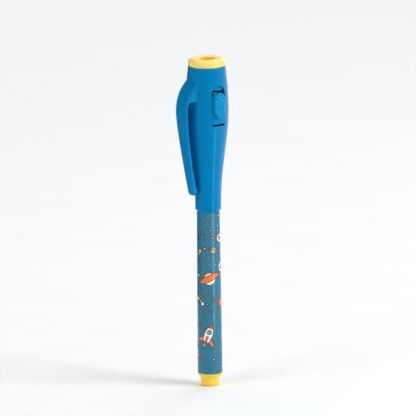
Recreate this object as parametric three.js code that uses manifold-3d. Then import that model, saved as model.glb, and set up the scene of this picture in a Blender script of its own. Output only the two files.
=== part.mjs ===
// Invisible-ink marker with an ultraviolet lamp in its cap, in millimetres, +Z up.
// The pen stands on its end plug, with the origin at the centre of the plug's flat end.
// The pocket clip is on the -X side of the cap and the lamp's switch lever on the -Y side.

import * as THREE from 'three';
import { mergeVertices } from 'three/addons/utils/BufferGeometryUtils.js';
import Module from 'manifold-3d';

const wasm = await Module();
wasm.setup();

// Clearances
const FIT = 0.05; // between pieces that are pressed or trapped together
const SLIDE = 0.12; // between the cap's seal and the nib section
const REST = 0.3; // axial gap left at a seat
const LEVER_SIDE = 0.12; // on each side of the switch lever
const LEVER_TOP = 0.9; // slit above the lever
const LEVER_BOTTOM = 0.6; // slit below the lever
const CUT_REACH = 4; // how far a cutting shape reaches beyond what it cuts

// End plug
const PLUG_END_R = 4.12;
const PLUG_END_H = 3.5;
const PLUG_EDGE = 1.0;
const PLUG_CHAMFER_H = 1.5;
const PLUG_BAND_H = 0.7; // straight part of the collar, against the barrel
const PLUG_SPIGOT_L = 8;
const PLUG_LEAD_IN = 0.6;
const PLUG_WALL = 1.1;
const PLUG_RIBS = 6;
const PLUG_RIB_T = 0.7;
const PLUG_RIB_DEPTH = 0.5;

// Barrel and its printed sleeve
const BARREL_REAR_R = 5.44;
const BARREL_FRONT_R = 4.86;
const BARREL_LENGTH = 91.3;
const BARREL_WALL = 0.95;
const SLEEVE_T = 0.15;
const SLEEVE_ABOVE_PLUG = 0.4;
const SLEEVE_BELOW_CAP = 1.1; // bare barrel that shows between the film and the cap's rim

// Nib section, nib and reservoir
const SECTION_SPIGOT_L = 8;
const SECTION_COLLAR_STEP = 0.11; // from the bare barrel's outside in to the collar's
const SECTION_COLLAR_H = 1.6;
const SECTION_LAND_R = 3.95;
const SECTION_LAND_H = 3.9;
const SECTION_CONE_H = 6.5;
const SECTION_NOSE_R = 1.75;
const SECTION_NOSE_H = 0.6;
const NIB_R = 1.1;
const NIB_OUT = 3.1;
const NIB_IN_RESERVOIR = 7;
const NIB_ROOM = 3.3; // from the nib's tip to the inner cap's roof
const RESERVOIR_ROOM = 0.21; // round the wrapped reservoir where the barrel is narrowest
const WRAP_T = 0.2;

// Cap shell
const CAP_COVER = 20.2; // from the ledge over the nib section's collar down to the rim
const CAP_CROWN_H = 20; // from the belly up to the mouth
const CAP_CLEAR = 0.194; // between the rim's bore and the barrel
const CAP_RIM_WALL = 0.48;
const CAP_BELLY_R = 9.38;
const CAP_TOP_R = 8.12;
const CAP_FLARE = 1.2; // how late the flare from rim to belly starts
const CAP_CROWN = 2.1; // how full the crown above the belly is
const CAP_MOUTH_WALL = 0.82;
const CAP_FLARE_WALL = 1.12;
const CAP_RIM_CHAMFER = 0.25;

// Pocket clip, moulded with the shell
const CLIP_LENGTH = 52;
const CLIP_ROOT_DROP = 4.9; // from the cap's mouth down to the clip's root
const CLIP_ROOT_H = 10;
const CLIP_BULGE_DROP = 5.2; // from the root's underside down to the widest point
const CLIP_STAND = 4.92; // outer face beyond the cap's belly
const CLIP_TIP_STAND = 3.75; // tip's outer face beyond the cap's rim
const CLIP_T = 1.8;
const CLIP_ROOT_W = 9.4;
const CLIP_TIP_W = 4.2;
const CLIP_EDGE = 0.7;
const CLIP_SINK = 0.3; // how far the root runs into the shell's wall
const CLIP_FILLET = 1.6; // between the arm and the root's underside
const CLIP_BEAD = 0.75; // how far the gripping bead stands in from the tip
const CLIP_BEAD_L = 4;

// Switch lever and its slot in the shell
const LEVER_W = 6.1;
const LEVER_ABOVE_CARRIER = 0.65; // from the carrier's foot up to the lever's lower end
const LEVER_T = 1.15;
const LEVER_CROWN = 1.9; // height of the rounding at the lever's upper end
const PAD_H = 11.6;
const PAD_RISE = 1.0;
const PAD_TOP_FLAT = 0.72;
const PIVOT_UP = 1.6; // pivot above the lever's lower end
const PIVOT_DEPTH = 1.896; // pivot's axis below the cap's surface
const PIVOT_R = 0.5;
const PIVOT_PLAY = 0.1;
const PIVOT_L = 0.7;
const PIVOT_ROOM = 0.8; // from the pivot's axis in to the carrier's flat
const SOCKET_ENTRY_L = 2.4; // open side of the sockets, through which the pivot snaps in
const STEM_DROP = 3.7; // stem below the carrier's top
const STEM_W = 2;
const LIP_W = 0.8;
const LIP_UP = 0.8; // how far the lips reach above the slot
const LIP_INSET = 0.3; // from the lever's sides in to the lips
const LIP_CLEAR = 0.4; // from the lips up to the lamp ring's foot
const SCOOP_DEPTH = 0.85;
const SCOOP_SIDE = 0.35; // scoop beyond the slot on each side
const SCOOP_UP = 2.1; // scoop above the slot
const SCOOP_DOWN = 3.2; // how far it runs down beside the lever

// Lamp module: cells, contacts, light-emitting diode and ring
const CELL_R = 3.95;
const CELL_H = 3.6;
const CELL_COUNT = 3;
const CONTACT_T = 0.3;
const CONTACT_W = 3;
const CARRIER_WALL = 0.8;
const CARRIER_FLOOR_T = 1.2;
const CARRIER_WING_T = 1;
const CARRIER_TOP_RING_H = 1.6;
const CARRIER_ABOVE_CELLS = 1.7;
const LEAF_GAP = 0.5;
const LEAF_BOW = 0.35;
const FINGER_ABOVE_STEM = 0.8;
const LED_R = 2.5;
const LED_FLANGE = 0.4;
const LED_FLANGE_H = 1;
const LED_H = 8.6;
const LED_ABOVE_CARRIER = 1.55;
const LEAD_PITCH = 2.54;
const LEAD_T = 0.5;
const HOLDER_T = 1.7;
const HOLDER_FLAT_IN = 1.8; // from the leaf in to the holder's flat
const RING_SKIRT_H = 8.7; // from the ring's foot on the holder up to the cap's mouth
const RING_H = 3.4;
const RING_HOLE_R = 3.7;
const RING_BULGE = 0.08;
const RING_WALL = 1;

// Inner cap that seals the nib
const INNER_WALL = 0.7;
const INNER_TOP_T = 1;
const INNER_FLANGE_T = 1.2;

const ROUND = 48; // facets round the visible turned pieces
const ROUND_INSIDE = 24; // facets round the inner ones

// Heights that several pieces share, from the plug up to the lamp's ring
const BARREL_REAR_Z = PLUG_END_H + PLUG_CHAMFER_H + PLUG_BAND_H;
const BARREL_FRONT_Z = BARREL_REAR_Z + BARREL_LENGTH;
const SECTION_COLLAR_TOP = BARREL_FRONT_Z + SECTION_COLLAR_H;
const LEDGE_Z = SECTION_COLLAR_TOP + REST;
const SECTION_NOSE_Z = SECTION_COLLAR_TOP + SECTION_LAND_H + SECTION_CONE_H;
const NIB_TIP_Z = SECTION_NOSE_Z + SECTION_NOSE_H + NIB_OUT;
const RESERVOIR_REAR_Z = BARREL_REAR_Z + PLUG_SPIGOT_L + REST;
const RESERVOIR_FRONT_Z = BARREL_FRONT_Z - SECTION_SPIGOT_L - REST;
const INNER_TOP_Z = NIB_TIP_Z + NIB_ROOM + INNER_TOP_T;
const CARRIER_Z = INNER_TOP_Z + FIT;
const CARRIER_FLOOR_TOP = CARRIER_Z + CARRIER_FLOOR_T;
const CELLS_Z = CARRIER_FLOOR_TOP + FIT + CONTACT_T + FIT;
const CELLS_TOP = CELLS_Z + CELL_COUNT * (CELL_H + FIT);
const CARRIER_TOP = CELLS_TOP + CARRIER_ABOVE_CELLS;
const LED_Z = CARRIER_TOP + LED_ABOVE_CARRIER;
const HOLDER_TOP = LED_Z + LED_FLANGE_H;
const RING_FOOT_Z = HOLDER_TOP + FIT;
const CAP_TOP_Z = RING_FOOT_Z + RING_SKIRT_H;
const RING_TOP_Z = CAP_TOP_Z + RING_H;
const CAP_BELLY_Z = CAP_TOP_Z - CAP_CROWN_H;
const CAP_RIM_Z = LEDGE_Z - CAP_COVER;
const CLIP_ROOT_TOP_Z = CAP_TOP_Z - CLIP_ROOT_DROP;
const CLIP_SLOT_TOP_Z = CLIP_ROOT_TOP_Z - CLIP_ROOT_H;
const CLIP_BULGE_Z = CLIP_SLOT_TOP_Z - CLIP_BULGE_DROP;
const CLIP_TIP_Z = CLIP_ROOT_TOP_Z - CLIP_LENGTH;
const LEVER_BOTTOM_Z = CARRIER_Z + LEVER_ABOVE_CARRIER;
const LEVER_TOP_Z = RING_FOOT_Z - LIP_CLEAR - LIP_UP - LEVER_TOP;
const SLOT_BOTTOM_Z = LEVER_BOTTOM_Z - LEVER_BOTTOM;
const SLOT_TOP_Z = LEVER_TOP_Z + LEVER_TOP;
const PIVOT_Z = LEVER_BOTTOM_Z + PIVOT_UP;
const STEM_Z = CARRIER_TOP - STEM_DROP;

// Radii and depths that several pieces share
const SECTION_COLLAR_R = bareRadius(BARREL_FRONT_Z) - SECTION_COLLAR_STEP;
const RESERVOIR_R = barrelBore(RESERVOIR_FRONT_Z) - RESERVOIR_ROOM - WRAP_T - FIT;
const CAP_RIM_BORE_R = barrelRadius(CAP_RIM_Z) + CAP_CLEAR;
const CAP_RIM_R = CAP_RIM_BORE_R + CAP_RIM_WALL;
const MOUTH_R = CAP_TOP_R - CAP_MOUTH_WALL;
const CLIP_REACH = CAP_BELLY_R + CLIP_STAND;
const CLIP_TIP_REACH = CAP_RIM_R + CLIP_TIP_STAND;
const SLOT_HALF_W = LEVER_W / 2 + LEVER_SIDE;
const PIVOT_Y = PIVOT_DEPTH - capRadius(PIVOT_Z);
const CONTACT_Y = -(CELL_R + FIT + CARRIER_WALL + 2 * FIT); // inner face of the lower contact's finger
const LEAF_Y = CONTACT_Y - CONTACT_T - LEAF_GAP; // inner face of the switch leaf
const LED_FLANGE_R = LED_R + LED_FLANGE;
const OUTSIDE_Y = -(CAP_BELLY_R + CUT_REACH); // clear of everything on the switch's side

// Outside of the printed sleeve.
function barrelRadius(z) {
  const along = (z - BARREL_REAR_Z) / BARREL_LENGTH;
  return THREE.MathUtils.lerp(BARREL_REAR_R, BARREL_FRONT_R, along);
}

// Outside of the barrel itself.
function bareRadius(z) {
  return barrelRadius(z) - SLEEVE_T - FIT;
}

function barrelBore(z) {
  return bareRadius(z) - BARREL_WALL;
}

// Outside of the cap: a slow flare from the rim to the belly, then a crown up to the mouth.
function capRadius(z) {
  if (z < CAP_BELLY_Z) {
    const up = Math.max(0, (z - CAP_RIM_Z) / (CAP_BELLY_Z - CAP_RIM_Z));
    return CAP_RIM_R + (CAP_BELLY_R - CAP_RIM_R) * smooth(up ** CAP_FLARE);
  }
  const over = (z - CAP_BELLY_Z) / CAP_CROWN_H;
  return CAP_BELLY_R - (CAP_BELLY_R - CAP_TOP_R) * over ** CAP_CROWN;
}

// Inside of the cap: a flare above the inner cap's ledge, then a straight bore round the lamp's pieces.
function capBore(z) {
  return z < CARRIER_Z ? Math.min(MOUTH_R, capRadius(z) - CAP_FLARE_WALL) : MOUTH_R;
}

const COLOURS = {
  blue: { color: 0x0a86c4, roughness: 0.34, metalness: 0 },
  yellow: { color: 0xf6d25a, roughness: 0.36, metalness: 0 },
  sleeve: { color: 0x3c7fa3, roughness: 0.3, metalness: 0 },
  white: { color: 0xe9e9e2, roughness: 0.55, metalness: 0 },
  black: { color: 0x1d1f24, roughness: 0.5, metalness: 0 },
  fibre: { color: 0xf4f4ee, roughness: 0.9, metalness: 0 },
  film: { color: 0xdfe6ea, roughness: 0.2, metalness: 0 },
  steel: { color: 0xc9ccd0, roughness: 0.25, metalness: 1 },
  brass: { color: 0xc9a35a, roughness: 0.3, metalness: 1 },
  clear: { color: 0xe6ecf8, roughness: 0.05, metalness: 0 },
};

// Solids

function toSolid(geometry) {
  const bare = geometry.index ? geometry.toNonIndexed() : geometry.clone();
  bare.deleteAttribute('normal');
  bare.deleteAttribute('uv');
  const merged = mergeVertices(bare, 1e-4);
  return new wasm.Manifold(
    new wasm.Mesh({
      numProp: 3,
      vertProperties: merged.attributes.position.array,
      triVerts: new Uint32Array(merged.index.array),
    }),
  );
}

function toGeometry(solid) {
  const mesh = solid.getMesh();
  const geometry = new THREE.BufferGeometry();
  geometry.setAttribute('position', new THREE.BufferAttribute(mesh.vertProperties, 3));
  geometry.setIndex(new THREE.BufferAttribute(mesh.triVerts, 1));
  geometry.computeVertexNormals();
  return geometry;
}

// A profile of [radius, z] pairs, counter-clockwise with the radius to the right, turned about Z.
function revolve(profile, facets = ROUND) {
  const points = profile.map(([r, z]) => new THREE.Vector2(r, z));
  return toSolid(new THREE.LatheGeometry(points, facets).rotateX(Math.PI / 2));
}

function tube(inner, outer, low, high, facets = ROUND) {
  return revolve([[inner, low], [outer, low], [outer, high], [inner, high], [inner, low]], facets);
}

function disc(radius, low, high, facets = ROUND) {
  return revolve([[0, low], [radius, low], [radius, high], [0, high]], facets);
}

function box([x0, x1], [y0, y1], [z0, z1]) {
  const geometry = new THREE.BoxGeometry(x1 - x0, y1 - y0, z1 - z0);
  return toSolid(geometry.translate((x0 + x1) / 2, (y0 + y1) / 2, (z0 + z1) / 2));
}

function rodAlongX(radius, x0, x1, y, z, facets = 16) {
  const geometry = new THREE.CylinderGeometry(radius, radius, x1 - x0, facets).rotateZ(Math.PI / 2);
  return toSolid(geometry.translate((x0 + x1) / 2, y, z));
}

// A shape drawn in X and Z, run along Y from yOuter in to yInner.
function frontPrism(shape, yOuter, yInner, curveSegments = 12) {
  const options = { depth: yInner - yOuter, bevelEnabled: false, curveSegments };
  const geometry = new THREE.ExtrudeGeometry(shape, options).rotateX(Math.PI / 2);
  return toSolid(geometry.translate(0, yInner, 0));
}

// A bent strip: a polyline in Y and Z given a thickness to its left, run across X.
function strip(points, thickness, width) {
  const line = points.map(([y, z]) => new THREE.Vector2(y, z));
  const offset = line.map((point, i) => {
    const before = line[Math.max(i - 1, 0)];
    const after = line[Math.min(i + 1, line.length - 1)];
    const into = point.clone().sub(before).normalize();
    const out = after.clone().sub(point).normalize();
    if (i === 0) into.copy(out);
    if (i === line.length - 1) out.copy(into);
    const middle = into.clone().add(out).normalize();
    const reach = thickness / Math.max(0.5, middle.dot(out));
    return new THREE.Vector2(point.x - middle.y * reach, point.y + middle.x * reach);
  });
  const shape = new THREE.Shape([...line, ...offset.reverse()]);
  const geometry = new THREE.ExtrudeGeometry(shape, { depth: width, bevelEnabled: false });
  // Local x, y and z become Y, Z and X.
  const turn = new THREE.Matrix4().set(0, 0, 1, -width / 2, 1, 0, 0, 0, 0, 1, 0, 0, 0, 0, 0, 1);
  return toSolid(geometry.applyMatrix4(turn));
}

function smooth(t) {
  return t * t * (3 - 2 * t);
}

function range(count, make) {
  return Array.from({ length: count }, (_, i) => make(i));
}

// Barrel pieces

function barrelTube() {
  const ends = [BARREL_REAR_Z, BARREL_FRONT_Z];
  const outer = ends.map((z) => [bareRadius(z), z]);
  const inner = ends.map((z) => [barrelBore(z), z]).reverse();
  return revolve([...outer, ...inner, outer[0]]);
}

function barrelSleeve() {
  const ends = [BARREL_REAR_Z + SLEEVE_ABOVE_PLUG, CAP_RIM_Z - SLEEVE_BELOW_CAP];
  const outer = ends.map((z) => [barrelRadius(z), z]);
  const inner = ends.map((z) => [barrelRadius(z) - SLEEVE_T, z]).reverse();
  return revolve([...outer, ...inner, outer[0]]);
}

function endPlug() {
  const edge = range(5, (i) => {
    const a = (i / 4) * (Math.PI / 2);
    return [PLUG_END_R - PLUG_EDGE * (1 - Math.sin(a)), PLUG_EDGE * (1 - Math.cos(a))];
  });
  const spigotTop = BARREL_REAR_Z + PLUG_SPIGOT_L;
  const spigot = (z) => barrelBore(z) - FIT;
  const body = revolve([
    [0, 0],
    ...edge,
    [PLUG_END_R, PLUG_END_H - 0.3],
    [PLUG_END_R + 0.1, PLUG_END_H],
    [BARREL_REAR_R - 0.1, PLUG_END_H + PLUG_CHAMFER_H],
    [BARREL_REAR_R, PLUG_END_H + PLUG_CHAMFER_H + 0.2],
    [BARREL_REAR_R, BARREL_REAR_Z - FIT],
    [spigot(BARREL_REAR_Z) - 0.1, BARREL_REAR_Z - FIT],
    [spigot(spigotTop) - 0.1, spigotTop - PLUG_LEAD_IN],
    [spigot(spigotTop) - 0.4, spigotTop],
    [spigot(spigotTop) - PLUG_WALL, spigotTop],
    [spigot(spigotTop) - PLUG_WALL - 0.2, PLUG_END_H],
    [0, PLUG_END_H],
  ]);
  // Ribs on the spigot that grip the bore.
  const low = BARREL_REAR_Z + FIT;
  const high = spigotTop - PLUG_LEAD_IN;
  const outerR = spigot(high) * Math.cos(Math.PI / ROUND);
  const across = [-PLUG_RIB_T / 2, PLUG_RIB_T / 2];
  const ribs = range(PLUG_RIBS, (i) => {
    const rib = box([outerR - PLUG_RIB_DEPTH, outerR], across, [low, high]);
    return rib.rotate([0, 0, (360 / PLUG_RIBS) * i]);
  });
  return ribs.reduce((sum, rib) => sum.add(rib), body);
}

function nibSection() {
  const spigotLow = BARREL_FRONT_Z - SECTION_SPIGOT_L;
  const landTop = SECTION_COLLAR_TOP + SECTION_LAND_H;
  const chamberTop = BARREL_FRONT_Z - 2;
  const coneFootR = SECTION_LAND_R - 0.35;
  const coneFootZ = landTop + 0.3;
  const cone = range(6, (i) => {
    const t = i / 5;
    const radius = SECTION_NOSE_R + (coneFootR - SECTION_NOSE_R) * (1 - t) ** 1.25;
    return [radius, THREE.MathUtils.lerp(coneFootZ, SECTION_NOSE_Z, t)];
  });
  const bore = NIB_R + FIT;
  const chamberR = barrelBore(BARREL_FRONT_Z) - 1;
  return revolve([
    [chamberR, spigotLow],
    [barrelBore(spigotLow) - FIT - 0.25, spigotLow],
    [barrelBore(spigotLow + 0.6) - FIT, spigotLow + 0.6],
    [barrelBore(BARREL_FRONT_Z) - FIT, BARREL_FRONT_Z + FIT],
    [SECTION_COLLAR_R, BARREL_FRONT_Z + FIT],
    [SECTION_COLLAR_R, SECTION_COLLAR_TOP - 0.3],
    [SECTION_COLLAR_R - 0.25, SECTION_COLLAR_TOP],
    [SECTION_LAND_R - 0.12, SECTION_COLLAR_TOP],
    [SECTION_LAND_R, SECTION_COLLAR_TOP + SECTION_LAND_H / 2],
    [SECTION_LAND_R - 0.12, landTop],
    ...cone,
    [SECTION_NOSE_R - 0.3, SECTION_NOSE_Z + SECTION_NOSE_H],
    [bore, SECTION_NOSE_Z + SECTION_NOSE_H],
    [bore, chamberTop + 1],
    [chamberR, chamberTop],
    [chamberR, spigotLow],
  ], ROUND - 8);
}

function fibreNib() {
  const tail = RESERVOIR_FRONT_Z - NIB_IN_RESERVOIR;
  const shoulder = NIB_TIP_Z - 2;
  const bullet = range(5, (i) => {
    const a = (i / 4) * (Math.PI / 2) * 0.92;
    return [NIB_R * Math.cos(a), shoulder + 2 * Math.sin(a)];
  });
  const top = bullet[bullet.length - 1][1];
  const point = [[0, tail], [NIB_R - 0.3, tail], [NIB_R, tail + 0.8], ...bullet, [0, top + 0.02]];
  return revolve(point, ROUND_INSIDE);
}

function inkReservoir() {
  const socket = NIB_R + FIT;
  const socketFloor = RESERVOIR_FRONT_Z - NIB_IN_RESERVOIR - REST;
  return revolve(
    [
      [0, RESERVOIR_REAR_Z],
      [RESERVOIR_R, RESERVOIR_REAR_Z],
      [RESERVOIR_R, RESERVOIR_FRONT_Z],
      [socket, RESERVOIR_FRONT_Z],
      [socket, socketFloor],
      [0, socketFloor],
    ],
    ROUND_INSIDE,
  );
}

function reservoirWrap() {
  const inner = RESERVOIR_R + FIT;
  return tube(inner, inner + WRAP_T, RESERVOIR_REAR_Z + 1, RESERVOIR_FRONT_Z - 1, ROUND_INSIDE);
}

// Cap pieces

function capOuter(inset = 0, rows = 18) {
  const wall = range(rows + 1, (i) => {
    const z = CAP_RIM_Z + (CAP_TOP_Z - CAP_RIM_Z) * (i / rows);
    return [capRadius(z) - inset, z];
  });
  return revolve([[0, CAP_RIM_Z], ...wall, [0, CAP_TOP_Z]]);
}

function capCavity() {
  const flareTop = CARRIER_Z - REST;
  const flare = range(6, (i) => {
    const z = THREE.MathUtils.lerp(LEDGE_Z, flareTop, i / 5);
    return [capBore(z), z];
  });
  const below = CAP_RIM_Z - 1;
  return revolve([
    [0, below],
    [CAP_RIM_BORE_R + CAP_RIM_CHAMFER, below],
    [CAP_RIM_BORE_R + CAP_RIM_CHAMFER, CAP_RIM_Z],
    [CAP_RIM_BORE_R, CAP_RIM_Z + CAP_RIM_CHAMFER * 2],
    [CAP_RIM_BORE_R - 0.05, LEDGE_Z],
    ...flare,
    [MOUTH_R, CARRIER_Z],
    [MOUTH_R, CAP_TOP_Z + 1],
    [0, CAP_TOP_Z + 1],
  ]);
}

// Outline of the clip from the side: the distance from the pen's axis, and the height.
function clipOutline() {
  const rootWall = Math.sqrt(capRadius(CLIP_ROOT_TOP_Z) ** 2 - (CLIP_ROOT_W / 2) ** 2);
  const rootR = rootWall - CLIP_EDGE - CLIP_SINK;
  const span = CLIP_REACH - rootR;
  const fall = CLIP_ROOT_TOP_Z - CLIP_BULGE_Z;
  const innerReach = CLIP_REACH - CLIP_T;
  const innerTip = CLIP_TIP_REACH - CLIP_T;
  const beadTop = CLIP_TIP_Z + CLIP_BEAD_L;
  const beadZ = CLIP_TIP_Z + CLIP_BEAD_L * 0.45;
  const arm = CLIP_BULGE_Z - beadTop;
  const grip = innerTip - CLIP_BEAD;
  const shape = new THREE.Shape();
  // The root's underside, the fillet and the arm's inner face.
  shape.moveTo(rootR, CLIP_SLOT_TOP_Z);
  shape.lineTo(innerReach - CLIP_FILLET, CLIP_SLOT_TOP_Z);
  shape.quadraticCurveTo(innerReach, CLIP_SLOT_TOP_Z, innerReach, CLIP_SLOT_TOP_Z - CLIP_FILLET * 1.6);
  shape.bezierCurveTo(
    innerReach,
    CLIP_BULGE_Z - arm * 0.27,
    innerTip + (innerReach - innerTip) * 0.42,
    beadTop + arm * 0.27,
    innerTip,
    beadTop,
  );
  // The bead and the round tip.
  shape.quadraticCurveTo(grip, beadTop - CLIP_BEAD, grip, beadZ);
  shape.quadraticCurveTo(grip, CLIP_TIP_Z, (grip + CLIP_TIP_REACH) / 2, CLIP_TIP_Z);
  shape.quadraticCurveTo(CLIP_TIP_REACH - 0.1, CLIP_TIP_Z, CLIP_TIP_REACH, beadZ);
  // The outer face, up to the bulge and over it into the shell.
  shape.bezierCurveTo(
    CLIP_TIP_REACH + (CLIP_REACH - CLIP_TIP_REACH) * 0.37,
    beadZ + arm * 0.3,
    CLIP_REACH,
    CLIP_BULGE_Z - arm * 0.19,
    CLIP_REACH,
    CLIP_BULGE_Z,
  );
  shape.bezierCurveTo(
    CLIP_REACH,
    CLIP_BULGE_Z + fall * 0.49,
    rootR + span * 0.54,
    CLIP_ROOT_TOP_Z - fall * 0.18,
    rootR,
    CLIP_ROOT_TOP_Z,
  );
  shape.closePath();
  return shape;
}

// Half the clip's width: a straight taper from root to tip, drawn in round the tip.
function clipHalfWidth(z) {
  const along = (z - CLIP_TIP_Z) / (CLIP_ROOT_TOP_Z - CLIP_TIP_Z);
  const taper = THREE.MathUtils.lerp(CLIP_TIP_W, CLIP_ROOT_W, THREE.MathUtils.clamp(along, 0, 1)) / 2;
  const nose = CLIP_TIP_W * 0.6;
  const into = THREE.MathUtils.clamp((z - CLIP_TIP_Z) / nose, 0, 1);
  return taper * (0.5 + 0.5 * Math.sqrt(1 - (1 - into) ** 2));
}

function pocketClip() {
  const half = CLIP_ROOT_W / 2;
  const geometry = new THREE.ExtrudeGeometry(clipOutline(), {
    depth: CLIP_ROOT_W - 2 * CLIP_EDGE,
    bevelThickness: CLIP_EDGE,
    bevelSize: CLIP_EDGE,
    bevelOffset: -CLIP_EDGE,
    bevelSegments: 3,
    curveSegments: 9,
  });
  // Local x, y and z become -X, Z and Y.
  geometry.applyMatrix4(
    new THREE.Matrix4().set(-1, 0, 0, 0, 0, 0, 1, CLIP_EDGE - half, 0, 1, 0, 0, 0, 0, 0, 1),
  );
  const position = geometry.getAttribute('position');
  for (let i = 0; i < position.count; i += 1) {
    position.setY(i, (position.getY(i) * clipHalfWidth(position.getZ(i))) / half);
  }
  return toSolid(geometry);
}

function rectangle(x0, x1, z0, z1) {
  const corners = [[x0, z0], [x1, z0], [x1, z1], [x0, z1]];
  return new THREE.Shape(corners.map(([x, z]) => new THREE.Vector2(x, z)));
}

// A front outline with straight sides and a rounded upper end.
function archOutline(half, low, high, crown) {
  const shape = new THREE.Shape();
  shape.moveTo(-half, low);
  shape.lineTo(half, low);
  shape.lineTo(half, high - crown);
  shape.absellipse(0, high - crown, half, crown, 0, Math.PI, false);
  shape.closePath();
  return shape;
}

// The round-topped thumb recess above the switch's slot.
function thumbScoop() {
  const half = SLOT_HALF_W + SCOOP_SIDE;
  const shape = archOutline(half, SLOT_TOP_Z - SCOOP_DOWN, SLOT_TOP_Z + SCOOP_UP, half * 0.95);
  return frontPrism(shape, OUTSIDE_Y, PIVOT_Y, 12).subtract(capOuter(SCOOP_DEPTH));
}

function pivotSockets() {
  const radius = PIVOT_R + PIVOT_PLAY;
  const reach = LEVER_W / 2 + PIVOT_L + PIVOT_PLAY;
  const hole = rodAlongX(radius, -reach, reach, PIVOT_Y, PIVOT_Z);
  const halfEntry = radius * 0.9;
  const entry = box(
    [-reach, reach],
    [PIVOT_Y, PIVOT_Y + SOCKET_ENTRY_L],
    [PIVOT_Z - halfEntry, PIVOT_Z + halfEntry],
  );
  return hole.add(entry);
}

function capShell() {
  const slot = frontPrism(
    rectangle(-SLOT_HALF_W, SLOT_HALF_W, SLOT_BOTTOM_Z, SLOT_TOP_Z),
    OUTSIDE_Y,
    -MOUTH_R * 0.8,
  );
  return capOuter()
    .add(pocketClip())
    .subtract(capCavity())
    .subtract(slot)
    .subtract(thumbScoop())
    .subtract(pivotSockets());
}

// The thumb pad: rings of an oval that rise from the lever's face to a low dome.
function thumbPad() {
  const around = 28;
  const halfW = LEVER_W / 2;
  const halfH = PAD_H / 2;
  const middle = LEVER_TOP_Z - halfH;
  const sink = LEVER_T * 0.6;
  const rings = [
    [1, -sink],
    [1, 0.15],
    [0.97, PAD_RISE * 0.55],
    [0.9, PAD_RISE * 0.85],
    [0.78, PAD_RISE],
    [0.5, PAD_RISE],
    [0.25, PAD_RISE],
  ];
  const corner = (scale, rise, i) => {
    const a = (i / around) * 2 * Math.PI;
    const flat = Math.sin(a) > 0 ? PAD_TOP_FLAT : 1; // the upper end is squarer than the lower
    const x = halfW * scale * Math.sign(Math.cos(a)) * Math.abs(Math.cos(a)) ** flat;
    const z = middle + halfH * scale * Math.sign(Math.sin(a)) * Math.abs(Math.sin(a)) ** flat;
    return [x, -Math.sqrt((capRadius(z) + rise) ** 2 - x ** 2), z];
  };
  const ringPoints = rings.flatMap(([scale, rise]) => range(around, (i) => corner(scale, rise, i)));
  const back = ringPoints.length;
  const front = back + 1;
  const points = [
    ...ringPoints,
    [0, -(capRadius(middle) - sink), middle],
    [0, -(capRadius(middle) + PAD_RISE), middle],
  ];
  const faces = [];
  range(around, (i) => {
    const next = (i + 1) % around;
    faces.push(back, next, i);
    for (let ring = 0; ring + 1 < rings.length; ring += 1) {
      const low = ring * around;
      const high = low + around;
      faces.push(low + i, low + next, high + next, low + i, high + next, high + i);
    }
    const last = (rings.length - 1) * around;
    faces.push(last + i, last + next, front);
  });
  const geometry = new THREE.BufferGeometry();
  geometry.setAttribute('position', new THREE.Float32BufferAttribute(points.flat(), 3));
  geometry.setIndex(faces);
  return toSolid(geometry);
}

function switchLever() {
  const half = LEVER_W / 2;
  const outline = archOutline(half, LEVER_BOTTOM_Z, LEVER_TOP_Z, LEVER_CROWN);
  const plate = frontPrism(outline, OUTSIDE_Y, PIVOT_Y - 0.1, 10)
    .intersect(capOuter())
    .subtract(capOuter(LEVER_T));
  const frontY = -(capRadius(LEVER_TOP_Z) - LEVER_T / 2);
  const hub = box(
    [-half, half],
    [-(capRadius(PIVOT_Z) - LEVER_T), PIVOT_Y],
    [PIVOT_Z - PIVOT_R, PIVOT_Z + PIVOT_R * 1.6],
  ).intersect(capOuter(0.2));
  const pivot = rodAlongX(PIVOT_R, -half - PIVOT_L, half + PIVOT_L, PIVOT_Y, PIVOT_Z);
  const stem = box(
    [-STEM_W / 2, STEM_W / 2],
    [-(capRadius(STEM_Z) - LEVER_T / 2), LEAF_Y - CONTACT_T - FIT * 4],
    [STEM_Z - STEM_W / 2, STEM_Z + STEM_W / 2],
  );
  // Two lips behind the slot's upper edge keep the lever from swinging out.
  const lipTop = SLOT_TOP_Z + LIP_UP;
  const neckTop = LEVER_TOP_Z - LEVER_CROWN - 0.4;
  const lipFoot = neckTop - LIP_W * 2;
  const lips = [-1, 1].map((side) => {
    const outer = side * (half - LIP_INSET);
    const across = [outer, outer - side * LIP_W].sort((a, b) => a - b);
    const hookY = -Math.sqrt((MOUTH_R - FIT * 3) ** 2 - outer ** 2);
    const hook = box(across, [hookY, hookY + LIP_W], [lipFoot, lipTop]);
    const neck = box(across, [frontY + LEVER_T / 2, hookY + LIP_W], [lipFoot, neckTop]);
    return hook.add(neck);
  });
  return [hub, pivot, stem, ...lips, thumbPad()].reduce((sum, piece) => sum.add(piece), plate);
}

function innerCap() {
  const mouthR = SECTION_LAND_R + SLIDE;
  const outerR = mouthR + INNER_WALL;
  const flangeR = capBore(LEDGE_Z) - FIT * 2;
  const low = LEDGE_Z + FIT;
  return revolve(
    [
      [mouthR + 0.35, low],
      [flangeR, low],
      [flangeR, low + INNER_FLANGE_T],
      [outerR + 0.2, low + INNER_FLANGE_T],
      [outerR, low + INNER_FLANGE_T + 0.2],
      [outerR - 0.15, INNER_TOP_Z - 0.4],
      [outerR - 0.5, INNER_TOP_Z],
      [0, INNER_TOP_Z],
      [0, INNER_TOP_Z - INNER_TOP_T],
      [mouthR - 0.5, INNER_TOP_Z - INNER_TOP_T],
      [mouthR - 0.1, INNER_TOP_Z - INNER_TOP_T - 0.5],
      [mouthR, low + 1],
      [mouthR + 0.35, low],
    ],
    ROUND_INSIDE,
  );
}

// Lamp module

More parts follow.
